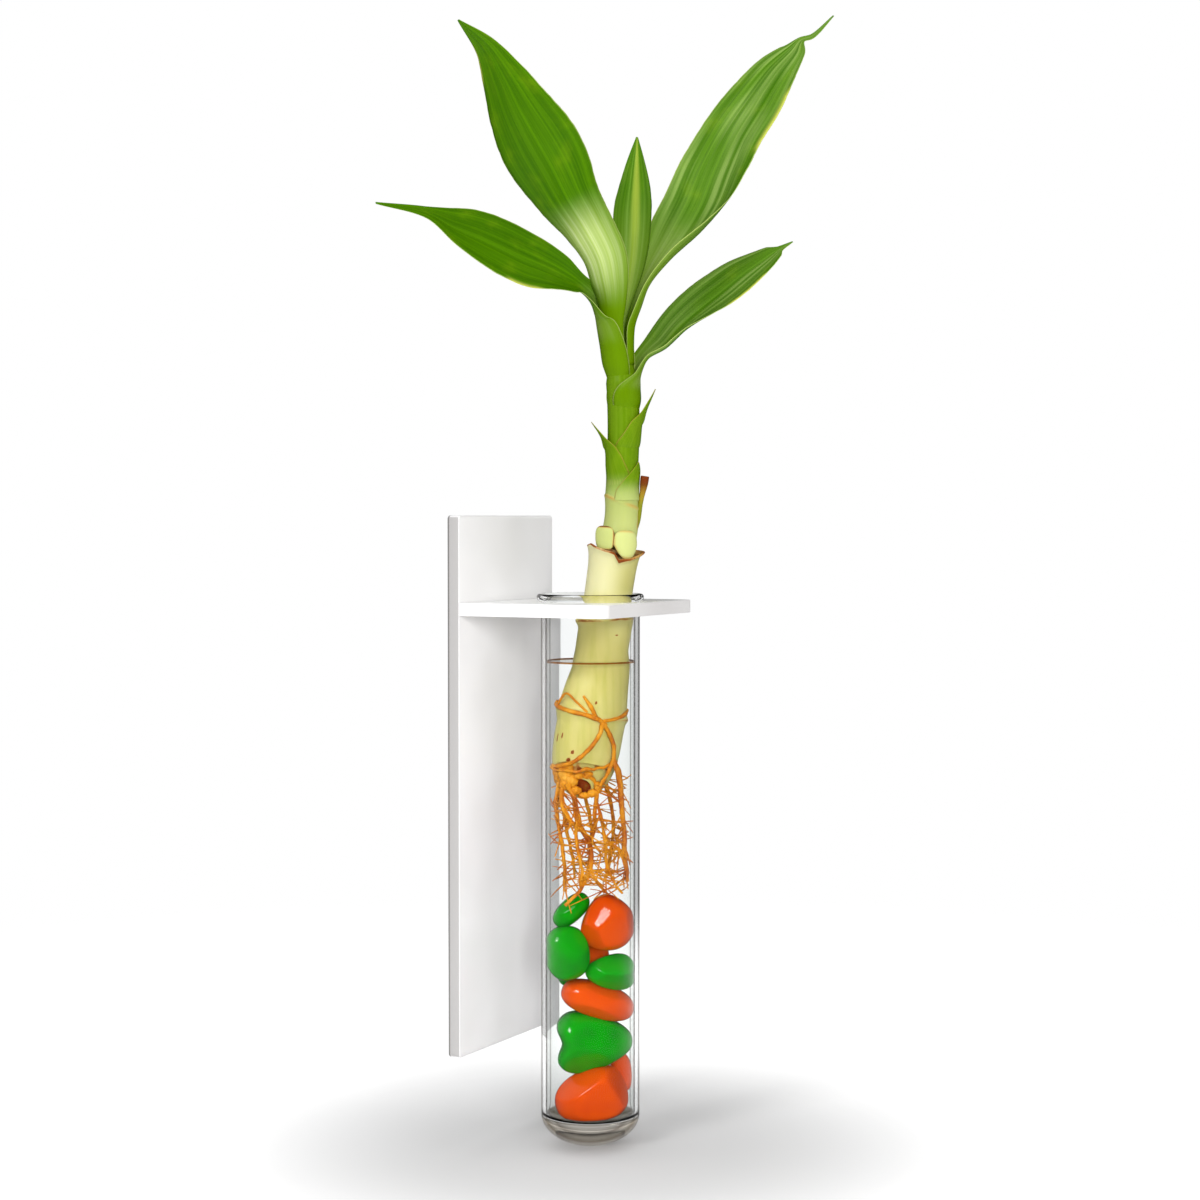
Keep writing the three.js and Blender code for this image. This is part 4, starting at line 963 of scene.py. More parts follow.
# The dried stub beside the shoot as rows of [x, y, z, radius].
DRY_STUB = [
    [17.2, 1.4, 27.0, 0.8], [18.4, 0.8, 34.0, 1.3], [20.1, 0.2, 42.0, 1.2], [21.0, 0, 48.0, 1.5],
]

# The shoot's own skin, under the sheaths: (height, radius).
SHOOT_GIRTH = [(20, 6.6), (26, 6.8), (36, 6.5), (40, 6.5), (43, 6.2), (50, 6.1), (84, 6.2), (91, 4.8),
               (98, 3.4)]

UNDER = 5.1                         # radius of a sheath where another one covers it


def sheath(z, radius, heading, wrap):
    """A row of a sheath that wraps the stem, its midrib at heading degrees round it."""
    axis, turn = STEM.at_height(z), math.radians(heading)
    return [axis[0] + radius * math.cos(turn), axis[1] + radius * math.sin(turn), z,
            radius * math.radians(wrap), wrap]


def towards_stem(heading):
    return [-math.cos(math.radians(heading)), -math.sin(math.radians(heading)), 0]


# Each leaf: rows of [x, y, z, half width, curl], the way its upper face looks, its ripple, the
# rows from which its pale foot, partly a painted highlight, rises, is full, holds and is gone, how
# pale that foot is, how much painted sheen its lit side has, how pale its midrib is, and its yellow
# margins as (side, from, to) in t.
LEAVES = {
    "leaf_upper_left": {
        "rows": [
            sheath(91, UNDER, 222, 66), sheath(99, 5.4, 224, 66), sheath(107, 6.1, 228, 64),
            sheath(114, 7.0, 234, 62), [5.6, -6.8, 121.5, 9.2, 56], [3.2, -8.4, 130.5, 10.8, 54],
            [-2.6, -10.8, 141.0, 12.1, 42], [-9.4, -13.6, 151.4, 14.1, 34],
            [-15.4, -16.6, 162.4, 16.6, 28], [-21.3, -19.8, 172.4, 17.1, 25],
            [-27.2, -23.2, 183.1, 14.6, 22], [-32.5, -26.6, 194.2, 10.4, 20],
            [-38.5, -30.2, 205.2, 5.2, 16], [-48.3, -34.6, 214.6, 0.4, 8],
        ],
        "faces": [towards_stem(222), [0.45, 0.89, 0.1], [0.42, 0.86, 0.3], [0.5, 0.8, 0.4]],
        "wave": 1.0, "foot": (2.6, 5.2, 5.6, 7.1), "pale": 0.85, "margins": [(1, 0.84, 0.95)],
    },
    "leaf_upper_right": {
        "rows": [
            sheath(91, UNDER, 20, 78), sheath(99, 5.4, 16, 78), sheath(106, 6.2, 12, 76),
            [19.1, 2.4, 113.5, 8.8, 72], [21.8, 3.8, 121.0, 8.4, 64], [28.1, 7.4, 130.2, 12.4, 56],
            [37.4, 14.0, 141.5, 17.5, 46], [44.5, 20.6, 153.5, 17.7, 38],
            [50.1, 27.4, 167.9, 16.4, 32], [56.5, 34.0, 182.3, 14.1, 28],
            [65.0, 40.4, 196.2, 12.7, 25], [74.2, 47.0, 210.5, 9.7, 20],
            [81.4, 51.6, 219.3, 6.0, 17], [85.0, 54.4, 224.6, 1.9, 12],
            [89.6, 56.2, 226.6, 1.2, 10], [98.6, 61.4, 236.0, 0.35, 8],
        ],
        "faces": [towards_stem(20), [-0.9, -0.4, 0.2], [-0.5, -0.82, 0.25], [-0.32, -0.88, 0.3],
                  [-0.28, -0.85, 0.4]],
        "wave": 1.2, "foot": (2.0, 4.0, 4.6, 7.0), "pale": 0.3, "light": 0.7,
        "margins": [(1, 0.56, 0.72)],
    },
    "leaf_centre": {
        "rows": [
            [10.8, 0.6, 98.8, 3.4, 80], [11.8, 0.6, 108, 3.9, 80], [14.4, 1.0, 119, 4.9, 64],
            [16.2, 2.0, 131, 7.2, 58], [17.0, 2.8, 142, 8.4, 44], [17.3, 3.8, 151, 8.2, 36],
            [17.6, 5.0, 160, 6.4, 30], [17.8, 6.4, 169, 3.8, 20], [18.0, 8.2, 178.6, 0.4, 8],
        ],
        "faces": [[-0.25, 0.96, 0], [-0.3, 0.94, 0.1], [-0.3, 0.94, 0.1]],
        "wave": 0.4, "foot": (0.0, 1.0, 2.0, 6.0), "pale": 0.2, "light": 0.2, "margins": [], "rib": 1.0,
    },
    "leaf_lower_left": {
        "rows": [
            sheath(79, UNDER, 165, 140), sheath(85, 5.3, 165, 138), sheath(91, 6.7, 166, 134),
            sheath(98, 7.2, 168, 124), sheath(105, 7.8, 172, 106), sheath(110.5, 8.6, 176, 80),
            [0.2, -0.4, 115.6, 7.7, 66], [-4.2, -3.5, 120.0, 5.6, 54], [-9.7, -8.4, 122.4, 8.9, 44],
            [-17.1, -14.4, 125.1, 11.5, 36], [-25.1, -20.8, 127.7, 13.2, 28],
            [-32.9, -27.6, 130.9, 13.1, 25], [-41.1, -35.2, 134.2, 11.7, 22],
            [-49.6, -44.4, 137.3, 8.2, 18], [-58.8, -55.6, 141.4, 2.7, 14],
            [-75.0, -74.4, 142.6, 0.4, 8],
        ],
        "faces": [towards_stem(165), towards_stem(168), [0.84, -0.45, 0.3], [0.72, -0.6, 0.34],
                  [0.7, -0.6, 0.4]],
        "wave": 0.9, "foot": (3.0, 4.0, 5.4, 7.4), "pale": 0.15, "margins": [(-1, 0.62, 0.74)],
    },
    "leaf_lower_right": {
        "rows": [
            sheath(64, UNDER, 25, 150), sheath(71, 5.2, 25, 154), sheath(77, 6.6, 25, 152),
            sheath(82, 6.7, 25, 130), sheath(87, 7.2, 24, 78), [21.4, 6.0, 93.5, 6.2, 56],
            [28.6, 8.0, 98.8, 9.7, 48], [35.3, 10.2, 106.0, 11.1, 40],
            [43.3, 12.6, 112.9, 12.2, 34], [51.6, 15.0, 119.5, 12.2, 30],
            [59.9, 17.6, 126.4, 10.8, 25], [68.0, 19.9, 132.5, 7.6, 18],
            [71.9, 21.0, 135.5, 5.1, 15], [74.2, 21.7, 137.2, 1.9, 10],
            [79.2, 23.0, 140.2, 0.35, 8],
        ],
        "faces": [towards_stem(25), towards_stem(25), [-0.7, -0.6, 0.4], [-0.3, -0.65, 0.7],
                  [-0.3, -0.65, 0.7]],
        "wave": 0.8, "foot": (2.6, 3.6, 4.6, 6.6), "pale": 0.2, "light": 0.58,
        "margins": [(1, 0.6, 0.76)],
    },
}

# Short pointed sheaths below the leaves, and how pale the foot of each is.
SCALES = {
    "scale_lower": {
        "rows": [sheath(38.8, 6.7, -30, 88), sheath(42.6, 6.5, -30, 80), sheath(45.5, 6.5, -30, 60),
                 sheath(49, 6.7, -30, 34), sheath(53.4, 7.0, -30, 3)],
        "faces": [towards_stem(-30), towards_stem(-30)], "base": 0.62,
    },
    "scale_left": {
        "rows": [sheath(39.6, 6.3, 186, 132), sheath(43, 6.0, 186, 130), sheath(47.5, 5.9, 186, 118),
                 sheath(52, 6.3, 186, 96), sheath(57.5, 6.7, 186, 68), sheath(62.5, 8.2, 186, 26),
                 [0.4, 0.4, 68.8, 0.4, 10]],
        "faces": [towards_stem(186), towards_stem(186)], "base": 0.55,
    },
    "scale_right": {
        "rows": [sheath(52.4, UNDER, -8, 134), sheath(56.5, 5.2, -8, 128), sheath(60.5, 6.3, -8, 108),
                 sheath(64, 6.6, -8, 85), sheath(68, 7.0, -8, 60), sheath(72.5, 8.4, -8, 26),
                 [25.0, 0.6, 81.4, 0.4, 10]],
        "faces": [towards_stem(-8), towards_stem(-8)],
    },
}


def blade(plan, thickness, across=24, steps_per_row=10):
    """A leaf or sheath as a thin closed skin: points, faces, UV and the numbers it carries.

    Its section is an arc of the row's half width, turned through curl degrees to each side and
    hollow towards faces; a blade's section is square to its midrib and a sheath's stays level.
    The margins are thin and the midrib is a shallow crease.
    """
    run, look = Run(plan["rows"]), Run(plan["faces"])
    steps = (len(plan["rows"]) - 1) * steps_per_row
    spread = np.linspace(-1, 1, across + 1)
    wave, foot = plan.get("wave", 0.0), plan.get("foot", (90, 91, 92, 93))
    seed = sum(plan["rows"][-1]) % 7
    rise, full, hold, gone = foot
    upper, lower, uv, numbers = [], [], [], {}
    travelled, last = 0.0, run.point(0)
    for step in range(steps + 1):
        t = step / steps
        along, degrees = run.tangent(t), max(run.value(4, t), 4.0)
        square = 1 - smoothstep(degrees, 55.0, 75.0)
        inward = look.point(t)
        inward = unit(inward - along * square * inward.dot(along))
        side = unit(np.cross(along, inward))
        half, curl = max(run.value(3, t), 0.15), math.radians(degrees)
        middle = run.point(t)
        travelled += np.linalg.norm(middle - last)
        last = middle
        angle = spread * curl
        normal = -np.sin(angle)[:, None] * side + np.cos(angle)[:, None] * inward
        ripple = wave * spread ** 2 * np.sin(2 * math.pi * 2.5 * t + spread) * math.sin(math.pi * t)
        open_blade = (1 - smoothstep(degrees, 50.0, 66.0)) * smoothstep(half, 1.5, 6.0)
        ripple = ripple - 0.45 * open_blade * np.exp(-(spread / 0.07) ** 2)
        nick = 1 + 0.012 * open_blade * rough((travelled, seed, 0), 3.0) * np.abs(spread) ** 6
        centre = (middle + side * (half / curl) * (np.sin(angle) * nick)[:, None]
                  + inward * (half / curl) * (1 - np.cos(angle))[:, None] + normal * ripple[:, None])
        thick = thickness * (0.3 + 0.7 * (1 - np.abs(spread) ** 7)) * min(1.0, 0.35 + half / 4)
        upper.append(centre + normal * thick[:, None] / 2)
        lower.append(centre - normal * thick[:, None] / 2)
        uv.append(np.column_stack([(spread + 1) / 2, np.full(across + 1, travelled / 100)]))
        row = t * (len(plan["rows"]) - 1)
        margin = np.zeros(across + 1)
        for hand, start, end in plan.get("margins", []):
            reach = smoothstep(t, start, start + 0.03) * (1 - smoothstep(t, end - 0.03, end))
            margin += reach * smoothstep(hand * spread, 0.86, 0.98)
        carried = {
            "foot": smoothstep(row, rise, full) * (1 - smoothstep(row, hold, gone)) * plan.get("pale", 1.0),
            "wrap": 1 - smoothstep(row, full, gone),
            "margin": margin,
            "rib": plan.get("rib", 0.0),
            "rim": smoothstep(np.abs(spread), 0.88, 1.0) + smoothstep(t, 0.93, 1.0),
            "light": plan.get("light", 0.0) * smoothstep(row, rise, gone),
            "pale": plan.get("base", 0.0) * (1 - smoothstep(row, 0.0, 2.6)),
        }
        for key, value in carried.items():
            numbers.setdefault(key, []).append(np.zeros(across + 1) + value)
    row, total = across + 1, (steps + 1) * (across + 1)
    faces = grid(steps + 1, row)
    faces += [tuple(reversed([total + i for i in face])) for face in faces]
    for step in range(steps):
        left, right = step * row, step * row + across
        faces += [(left, left + row, total + left + row, total + left),
                  (right, total + right, total + right + row, right + row)]
    for c in range(across):
        end = steps * row + c
        faces += [(c, total + c, total + c + 1, c + 1), (end, end + 1, total + end + 1, total + end)]
    points = np.vstack([np.concatenate(upper), np.concatenate(lower)])
    uv = np.vstack([np.concatenate(uv)] * 2)
    numbers = {key: np.tile(np.concatenate(values), 2) for key, values in numbers.items()}
    return points, faces, uv, numbers


def leaf_material(settings):
    """Fresh, waxy monocot leaf: parallel veins, a satin gloss, light coming through it.

    Veins run along the blade, about 0.8 mm apart, in broader stripes of about 3 mm; one unit of
    the surface map is a blade's width across and 100 mm along.
    """
    material, tree = new_material("fresh waxy leaf")
    surface_map = add(tree, "ShaderNodeUVMap", uv_map="surface")
    across = add(tree, "ShaderNodeSeparateXYZ", {0: surface_map}).outputs["X"]
    aside = add(tree, MATH, {0: across, 1: 0.5}, operation="SUBTRACT")
    from_rib = add(tree, MATH, {0: aside}, operation="ABSOLUTE")
    fine = add(tree, STRETCH, {"Vector": surface_map, "Scale": (46, 1.2, 1)})
    veins = add(tree, NOISE, {"Vector": fine, "Scale": 1, "Detail": 1.5})
    broad = add(tree, STRETCH, {"Vector": surface_map, "Scale": (12, 0.9, 1)})
    stripes = add(tree, NOISE, {"Vector": broad, "Scale": 1, "Detail": 3})
    patches = add(tree, STRETCH, {"Vector": surface_map, "Scale": (3, 7, 1)})
    cloud = add(tree, NOISE, {"Vector": patches, "Scale": 1, "Detail": 3})
    foot, wrap, ribbed, margin, lit = (
        add(tree, ATTRIBUTE, attribute_name=name).outputs["Fac"]
        for name in ("foot", "wrap", "rib", "margin", "light"))

    # Green in darker and lighter stripes.
    striped = add(tree, MATH, {0: stripes, 1: 0.75, 2: -0.2}, operation="MULTIPLY_ADD")
    tone = add(tree, MATH, {0: veins, 1: 0.5, 2: striped}, operation="MULTIPLY_ADD")
    toned = add(tree, EASE, {"Value": tone, "From Min": 0.25, "From Max": 0.66}, **SOFT)
    body = add(tree, MIX, {"Factor": toned, "A": settings.blade_dark, "B": settings.blade}, **RGBA)
    patch = add(tree, EASE, {"Value": cloud, "From Min": 0.5, "From Max": 0.8, "To Max": 0.35}, **SOFT)
    body = add(tree, MIX, {"Factor": patch, "A": body, "B": settings.blade_light}, **RGBA)

    # The side that faces the lamp has a painted sheen: pale streaks that stand for highlights.
    painted_sheen_streaks = add(tree, EASE, {
        "Value": stripes, "From Min": 0.36, "From Max": 0.66, "To Min": 0.15, "To Max": 1.0}, **SOFT)
    long = add(tree, STRETCH, {"Vector": surface_map, "Scale": (3, 1.8, 1)})
    sweep = add(tree, NOISE, {"Vector": long, "Scale": 1, "Detail": 1})
    painted_sheen_patches = add(tree, EASE, {
        "Value": sweep, "From Min": 0.36, "From Max": 0.6, "To Min": 0.2, "To Max": 1.0}, **SOFT)
    painted_sheen = add(tree, MATH, {0: painted_sheen_streaks, 1: lit}, operation="MULTIPLY")
    painted_sheen = add(tree, MATH, {0: painted_sheen, 1: painted_sheen_patches}, operation="MULTIPLY")
    body = add(tree, MIX, {"Factor": painted_sheen, "A": body, "B": settings.painted_sheen}, **RGBA)

    # A pale midrib, a pale foot that is partly the blade's paler base and partly a painted highlight, and the
    # green of the sheath below it.
    near_rib = add(tree, EASE, {
        "Value": from_rib, "From Min": 0.02, "From Max": 0.16, "To Min": 0.7, "To Max": 0.0}, **SOFT)
    rib = add(tree, MATH, {0: near_rib, 1: ribbed}, operation="MULTIPLY")
    body = add(tree, MIX, {"Factor": rib, "A": body, "B": shown("#b4c64a")}, **RGBA)
    wrapped = add(tree, MATH, {0: wrap, 1: 0.85}, operation="MULTIPLY")
    body = add(tree, MIX, {"Factor": wrapped, "A": body, "B": settings.sheath}, **RGBA)
    pale_tone = add(tree, EASE, {"Value": tone, "From Min": 0.2, "From Max": 0.75})
    pale = add(tree, MIX, {"Factor": pale_tone, "A": shown("#b4cf50"), "B": shown("#edf4c4")}, **RGBA)
    middle = add(tree, EASE, {
        "Value": from_rib, "From Min": 0.12, "From Max": 0.5, "To Min": 1.0, "To Max": 0.3}, **SOFT)
    streaks = add(tree, MATH, {0: stripes, 1: 1.3, 2: -0.65}, operation="MULTIPLY_ADD")
    spread = add(tree, MATH, {0: middle, 1: streaks}, operation="ADD")
    reach = add(tree, MATH, {0: foot, 1: spread}, operation="MULTIPLY", use_clamp=True)
    body = add(tree, MIX, {"Factor": reach, "A": body, "B": pale}, **RGBA)

    # A thin light edge, and the margins that have yellowed.
    edge = add(tree, EASE, {"Value": from_rib, "From Min": 0.484, "From Max": 0.5, "To Max": 0.75}, **SOFT)
    body = add(tree, MIX, {"Factor": edge, "A": body, "B": shown("#c6d47c")}, **RGBA)
    body = add(tree, MIX, {"Factor": margin, "A": body, "B": shown("#d8dc62")}, **RGBA)

    ribs = add(tree, MATH, {0: stripes, 1: 0.5, 2: veins}, operation="MULTIPLY_ADD")
    skin = add(tree, BUMP, {"Height": ribs, "Distance": 0.0002, "Strength": 0.22})
    satin = add(tree, MATH, {0: stripes, 1: 0.3, 2: 0.24}, operation="MULTIPLY_ADD")
    gloss = add(tree, SURFACE, {
        "Base Color": body, "Normal": skin, "Roughness": satin, "IOR": 1.42, "Specular IOR Level": 0.16})
    light = add(tree, MIX, {"Factor": 0.35, "A": body, "B": shown("#a8cc00")}, **RGBA)
    through = add(tree, "ShaderNodeBsdfTranslucent", {"Color": light, "Normal": skin})
    mixed = add(tree, BLEND, {"Fac": 0.3, 1: gloss, 2: through})
    add(tree, OUTPUT, {"Surface": mixed})
    return material


def sheath_material(settings, name, body):
    """Young leaf sheath: juicy and satin, ribbed along every 1 to 2 mm, with a thin dry edge.

    Clouds of a fresher green are about 7 mm wide; what has dried turns from straw to dark brown.
    """
    material, tree = new_material(name)
    surface_map = add(tree, "ShaderNodeUVMap", uv_map="surface")
    where = add(tree, COORDINATES).outputs["Object"]
    drawn = add(tree, STRETCH, {"Vector": surface_map, "Scale": (30, 1.0, 1)})
    ribs = add(tree, NOISE, {"Vector": drawn, "Scale": 1, "Detail": 2})
    upright = add(tree, STRETCH, {"Vector": where, "Scale": (1, 1, 0.4)})
    cloud = add(tree, NOISE, {"Vector": upright, "Scale": 150, "Detail": 3})
    pale, rim, dry, young = (
        add(tree, ATTRIBUTE, attribute_name=name).outputs["Fac"]
        for name in ("pale", "rim", "dry", "young"))
    ribbed = add(tree, EASE, {"Value": ribs, "From Min": 0.3, "From Max": 0.75, "To Max": 0.1}, **SOFT)
    body = add(tree, MIX, {"Factor": young, "A": body, "B": settings.young}, **RGBA)
    skin = add(tree, MIX, {"Factor": ribbed, "A": body, "B": shown("#a9c040")}, **RGBA)
    patch = add(tree, EASE, {"Value": cloud, "From Min": 0.45, "From Max": 0.75, "To Max": 0.2}, **SOFT)
    skin = add(tree, MIX, {"Factor": patch, "A": skin, "B": shown("#84a214")}, **RGBA)
    paler = add(tree, MATH, {0: pale, 1: 0.85}, operation="MULTIPLY", use_clamp=True)
    skin = add(tree, MIX, {"Factor": paler, "A": skin, "B": settings.sheath_pale}, **RGBA)
    edged = add(tree, EASE, {"Value": rim, "From Min": 0.3, "From Max": 1.0, "To Max": 0.5}, **SOFT)
    skin = add(tree, MIX, {"Factor": edged, "A": skin, "B": shown("#a98c3c")}, **RGBA)
    withered = add(tree, RAMP, {"Fac": dry}, stops=[(0.3, shown("#c8842e")), (0.9, shown("#6e3010"))])
    skin = add(tree, MIX, {"Factor": dry, "A": skin, "B": withered}, **RGBA)
    relief = add(tree, BUMP, {"Height": ribs, "Distance": 0.0002, "Strength": 0.25})
    surface = add(tree, SURFACE, {
        "Base Color": skin, "Normal": relief, "Roughness": 0.38, "IOR": 1.42, "Specular IOR Level": 0.14,
        "Subsurface Weight": 0.1, "Subsurface Scale": 0.003, "Subsurface Radius": (1.0, 0.9, 0.3)})
    add(tree, OUTPUT, {"Surface": surface})
    return material


class BAMBOO_OT_leaves(bpy.types.Operator):
    """Make the leaves and the scales on the shoot"""
    bl_idname = "bamboo.leaves"
    bl_label = "Leaves"

    def execute(self, context):
        settings = context.scene.bamboo_plant
        green = leaf_material(settings)
        for name, plan in LEAVES.items():
            points, faces, uv, numbers = blade(plan, 0.6)
            make_piece(name.replace("leaf", "blade"), points, faces, [green], [name],
                       numbers=numbers, uv=uv)
        young = sheath_material(settings, "scale sheath", settings.young)
        for name, plan in SCALES.items():
            points, faces, uv, numbers = blade(plan, 0.55)
            make_piece(name.replace("scale", "bract"), points, faces, [young], [name],
                       numbers=numbers, uv=uv)
        return {"FINISHED"}


def shoot_stem():
    """The shoot's stem under its sheaths: points, faces, the numbers it carries and UV."""
    run = Run(SHOOT)
    points, places = rings(run, lambda t: run.value(3, t), 72, 220)
    centres = np.array([run.point(t) for t in places])
    away = points - centres[:, None, :]
    girth = np.interp(centres[:, 2], *zip(*SHOOT_GIRTH))
    away *= (girth / np.linalg.norm(away, axis=2).mean(1))[:, None, None]
    points = centres[:, None, :] + away
    turn = np.arctan2(away[..., 1], away[..., 0])
    fine = np.array([[rough(p, 3.0, 2.0) for p in row] for row in points])
    # The node slopes down to the right; the skin above it is drawn in.
    gap = points[..., 2] - (38.0 - 2.6 * np.cos(turn) + 0.5 * fine)
    node = np.exp(-(gap / 0.7) ** 2) * (1 - smoothstep(points[..., 2], 41.0, 42.0))
    points += away / np.linalg.norm(away, axis=2)[..., None] * (0.3 * node)[..., None]
    # A dry streak runs down the shoot's foot.
    z = points[..., 2]
    streak = np.exp(-((np.degrees(turn) + 18) / 5.0) ** 2)
    streak *= smoothstep(z, 27.0, 29.0) * (1 - smoothstep(z, 33.0, 35.0))
    ends = [0.0, 0.0]
    numbers = {
        "dry": [*np.clip(0.55 * node * (0.6 + fine) + 0.9 * streak, 0, 1).ravel(), *ends],
        "pale": [*(0.8 - 0.25 * smoothstep(z, 24.0, 40.0) - 0.55 * smoothstep(z, 40.0, 50.0)).ravel(), *ends],
        "young": [*smoothstep(z, 40.0, 52.0).ravel(), *ends],
    }
    uv = np.stack([turn / (2 * math.pi) + 0.5, z / 100], axis=2).reshape(-1, 2)
    return *capped(points), numbers, np.vstack([uv, [ends, ends]])


def bud(plan):
    """A scale at the shoot's foot, a blunt pillow bent round the stem, listed as the stem is."""
    ball, faces = sphere(5)
    blunt = 2.9
    x, y, z = (ball / (np.abs(ball) ** blunt).sum(1)[:, None] ** (1 / blunt)).T
    turn = np.radians(plan["heading"] + plan["wrap"] * x * (1 - plan["point"] * np.maximum(-z, 0)))
    reach = 8.4 - 1.3 * y
    points = np.column_stack([9.7 + reach * np.cos(turn), 0.4 + reach * np.sin(turn),
                              plan["middle"] + plan["half"] * z - plan["lean"] * x])
    edge = (np.abs(x) ** 8 + np.abs(z) ** 8) ** (1 / 8)
    numbers = {"dry": plan["dry"] * smoothstep(edge, 0.78, 0.93), "pale": np.full(len(x), plan["pale"])}
    return points, faces, numbers, np.column_stack([x / 2 + 0.5, z / 10])


def dry_stub():
    """The dried stub beside the shoot, hollow at its top, listed as the stem is."""
    run = Run(DRY_STUB)
    skin, _ = rings(run, lambda t: run.value(3, t) + 0.25 * math.sin(9 * t), 28, 60)
    skin = np.concatenate([skin, rings_within(skin[-1], UPWARDS, [(0.8, 0.1), (0.62, -0.7), (0.3, -1.6)])])
    points, faces = capped(skin)
    dry = np.clip(0.12 + 0.88 * smoothstep(skin[..., 2], 36.0, 47.0), 0, 1)
    numbers = {"dry": [*dry.ravel(), 0.4, 1.0], "pale": np.zeros(len(points))}
    return points, faces, numbers, np.zeros((len(points), 2))


class BAMBOO_OT_shoot(bpy.types.Operator):
    """Make the shoot with the scales at its foot and its dry stub"""
    bl_idname = "bamboo.shoot"
    bl_label = "Shoot"

    def execute(self, context):
        settings = context.scene.bamboo_plant
        young = sheath_material(settings, "shoot skin", settings.skin)
        forms = {"shoot_stem": shoot_stem(), **{name: bud(plan) for name, plan in BUDS.items()},
                 "dry_stub": dry_stub()}
        for name, (points, faces, numbers, uv) in forms.items():
            make_piece(name, points, faces, [young], ["shoot"], numbers=numbers, uv=uv)
        return {"FINISHED"}


# ---------------------------------------------------------------- pebbles

# Each pebble: centre, half sizes, lean in the picture's plane, taper towards its +X end, notch in
# its -X end, and the flats that tumbling has left, each a direction and how far out it lies.
PEBBLES = {
    "pebble_green_top": {"at": [-7.4, 2.1, -119.4], "size": [8.3, 5.6, 4.5], "lean": 42,
                         "flats": [([0.2, -0.8, 0.6], 0.86)]},
    "pebble_orange_top": {"at": [7.0, -2.7, -124.0], "size": [9.8, 9.2, 10.4], "lean": -24, "taper": 0.16,
                          "flats": [([0.8, -0.3, 0.5], 0.84), ([0.3, -0.95, -0.1], 0.84),
                                    ([-0.5, -0.8, 0.3], 0.88), ([-0.4, -0.6, -0.7], 0.86)]},
    "pebble_green_left": {"at": [-8.5, -3.2, -135.0], "size": [8.4, 7.6, 10.4], "lean": 8, "taper": 0.06,
                          "flats": [([0.5, -0.7, 0.5], 0.86), ([-0.3, -0.9, -0.3], 0.88)]},
    "pebble_green_right": {"at": [7.5, -2.1, -142.6], "size": [9.4, 7.4, 6.5], "taper": -0.3,
                           "flats": [([0.1, -0.72, 0.69], 0.7), ([0.1, -0.84, -0.54], 0.72)]},
    "pebble_orange_middle": {"at": [2.8, 0.2, -153.9], "size": [14.4, 9.0, 6.6], "lean": -17,
                             "flats": [([0.1, -0.5, 0.86], 0.9), ([0.0, -0.8, -0.6], 0.9)]},
    "pebble_green_heart": {"at": [1.0, 0.0, -170.0], "size": [15.2, 10.6, 10.9], "lean": 2, "taper": 0.36,
                           "notch": 0.22, "flats": [([0.45, -0.8, 0.4], 0.8), ([0.1, -0.8, -0.6], 0.84)]},
    "pebble_orange_bottom": {"at": [0.4, -3.2, -190.4], "size": [14.0, 11.0, 10.2], "lean": 18,
                             "taper": -0.14, "flats": [([-0.35, -0.5, 0.79], 0.78),
                                                       ([0.1, -0.98, -0.15], 0.8),
                                                       ([0.95, -0.3, 0.1], 0.82)]},
    "pebble_orange_back": {"at": [12.2, 6.2, -183.4], "size": [4.4, 4.2, 7.6], "lean": 6, "flats": []},
    "pebble_green_back": {"at": [-8.6, 9.3, -141.6], "size": [4.6, 4.6, 8.6], "lean": -6, "flats": []},
    "pebble_orange_inner": {"at": [2.0, 9.9, -138.8], "size": [5.4, 6.0, 7.6], "lean": 10, "flats": []},
}


BLOCKY = 2.4                        # 2 would leave a pebble round
WORN = 0.03                         # how softly a flat meets the rest, in half sizes
FLATTENED = 0.8                     # how much of what stands over a flat is worn away
GLASS_GAP = 0.15                    # between a pebble and the glass


def pebble_points(plan, ball):
    """The ball's points shaped as a blocky pebble, with its flats worn in softly."""
    x, y, z = (ball / (np.abs(ball) ** BLOCKY).sum(1)[:, None] ** (1 / BLOCKY)).T
    dent = plan.get("notch", 0.0) * np.maximum(-x, 0) ** 2 * np.exp(-(z / 0.35) ** 2)
    narrow = 1 - plan.get("taper", 0.0) * x
    points = np.column_stack([x + dent, y * narrow, z * narrow])
    for direction, reach in plan["flats"]:
        way = unit(np.array(direction, float))
        over = points @ way - reach
        push = np.where(over > 0, over - WORN * (1 - np.exp(-over / WORN)), 0)
        points = points - way * (FLATTENED * push)[:, None]
    x, y, z = (points * plan["size"]).T
    lean = math.radians(plan.get("lean", 0))
    points = np.column_stack([x * math.cos(lean) - z * math.sin(lean), y,
                              x * math.sin(lean) + z * math.cos(lean)]) + plan["at"]
    # None reaches into the glass.
    out = np.hypot(points[:, 0], points[:, 1])
    points[:, :2] *= np.minimum(1, (TUBE_BORE - GLASS_GAP) / out)[:, None]
    return points


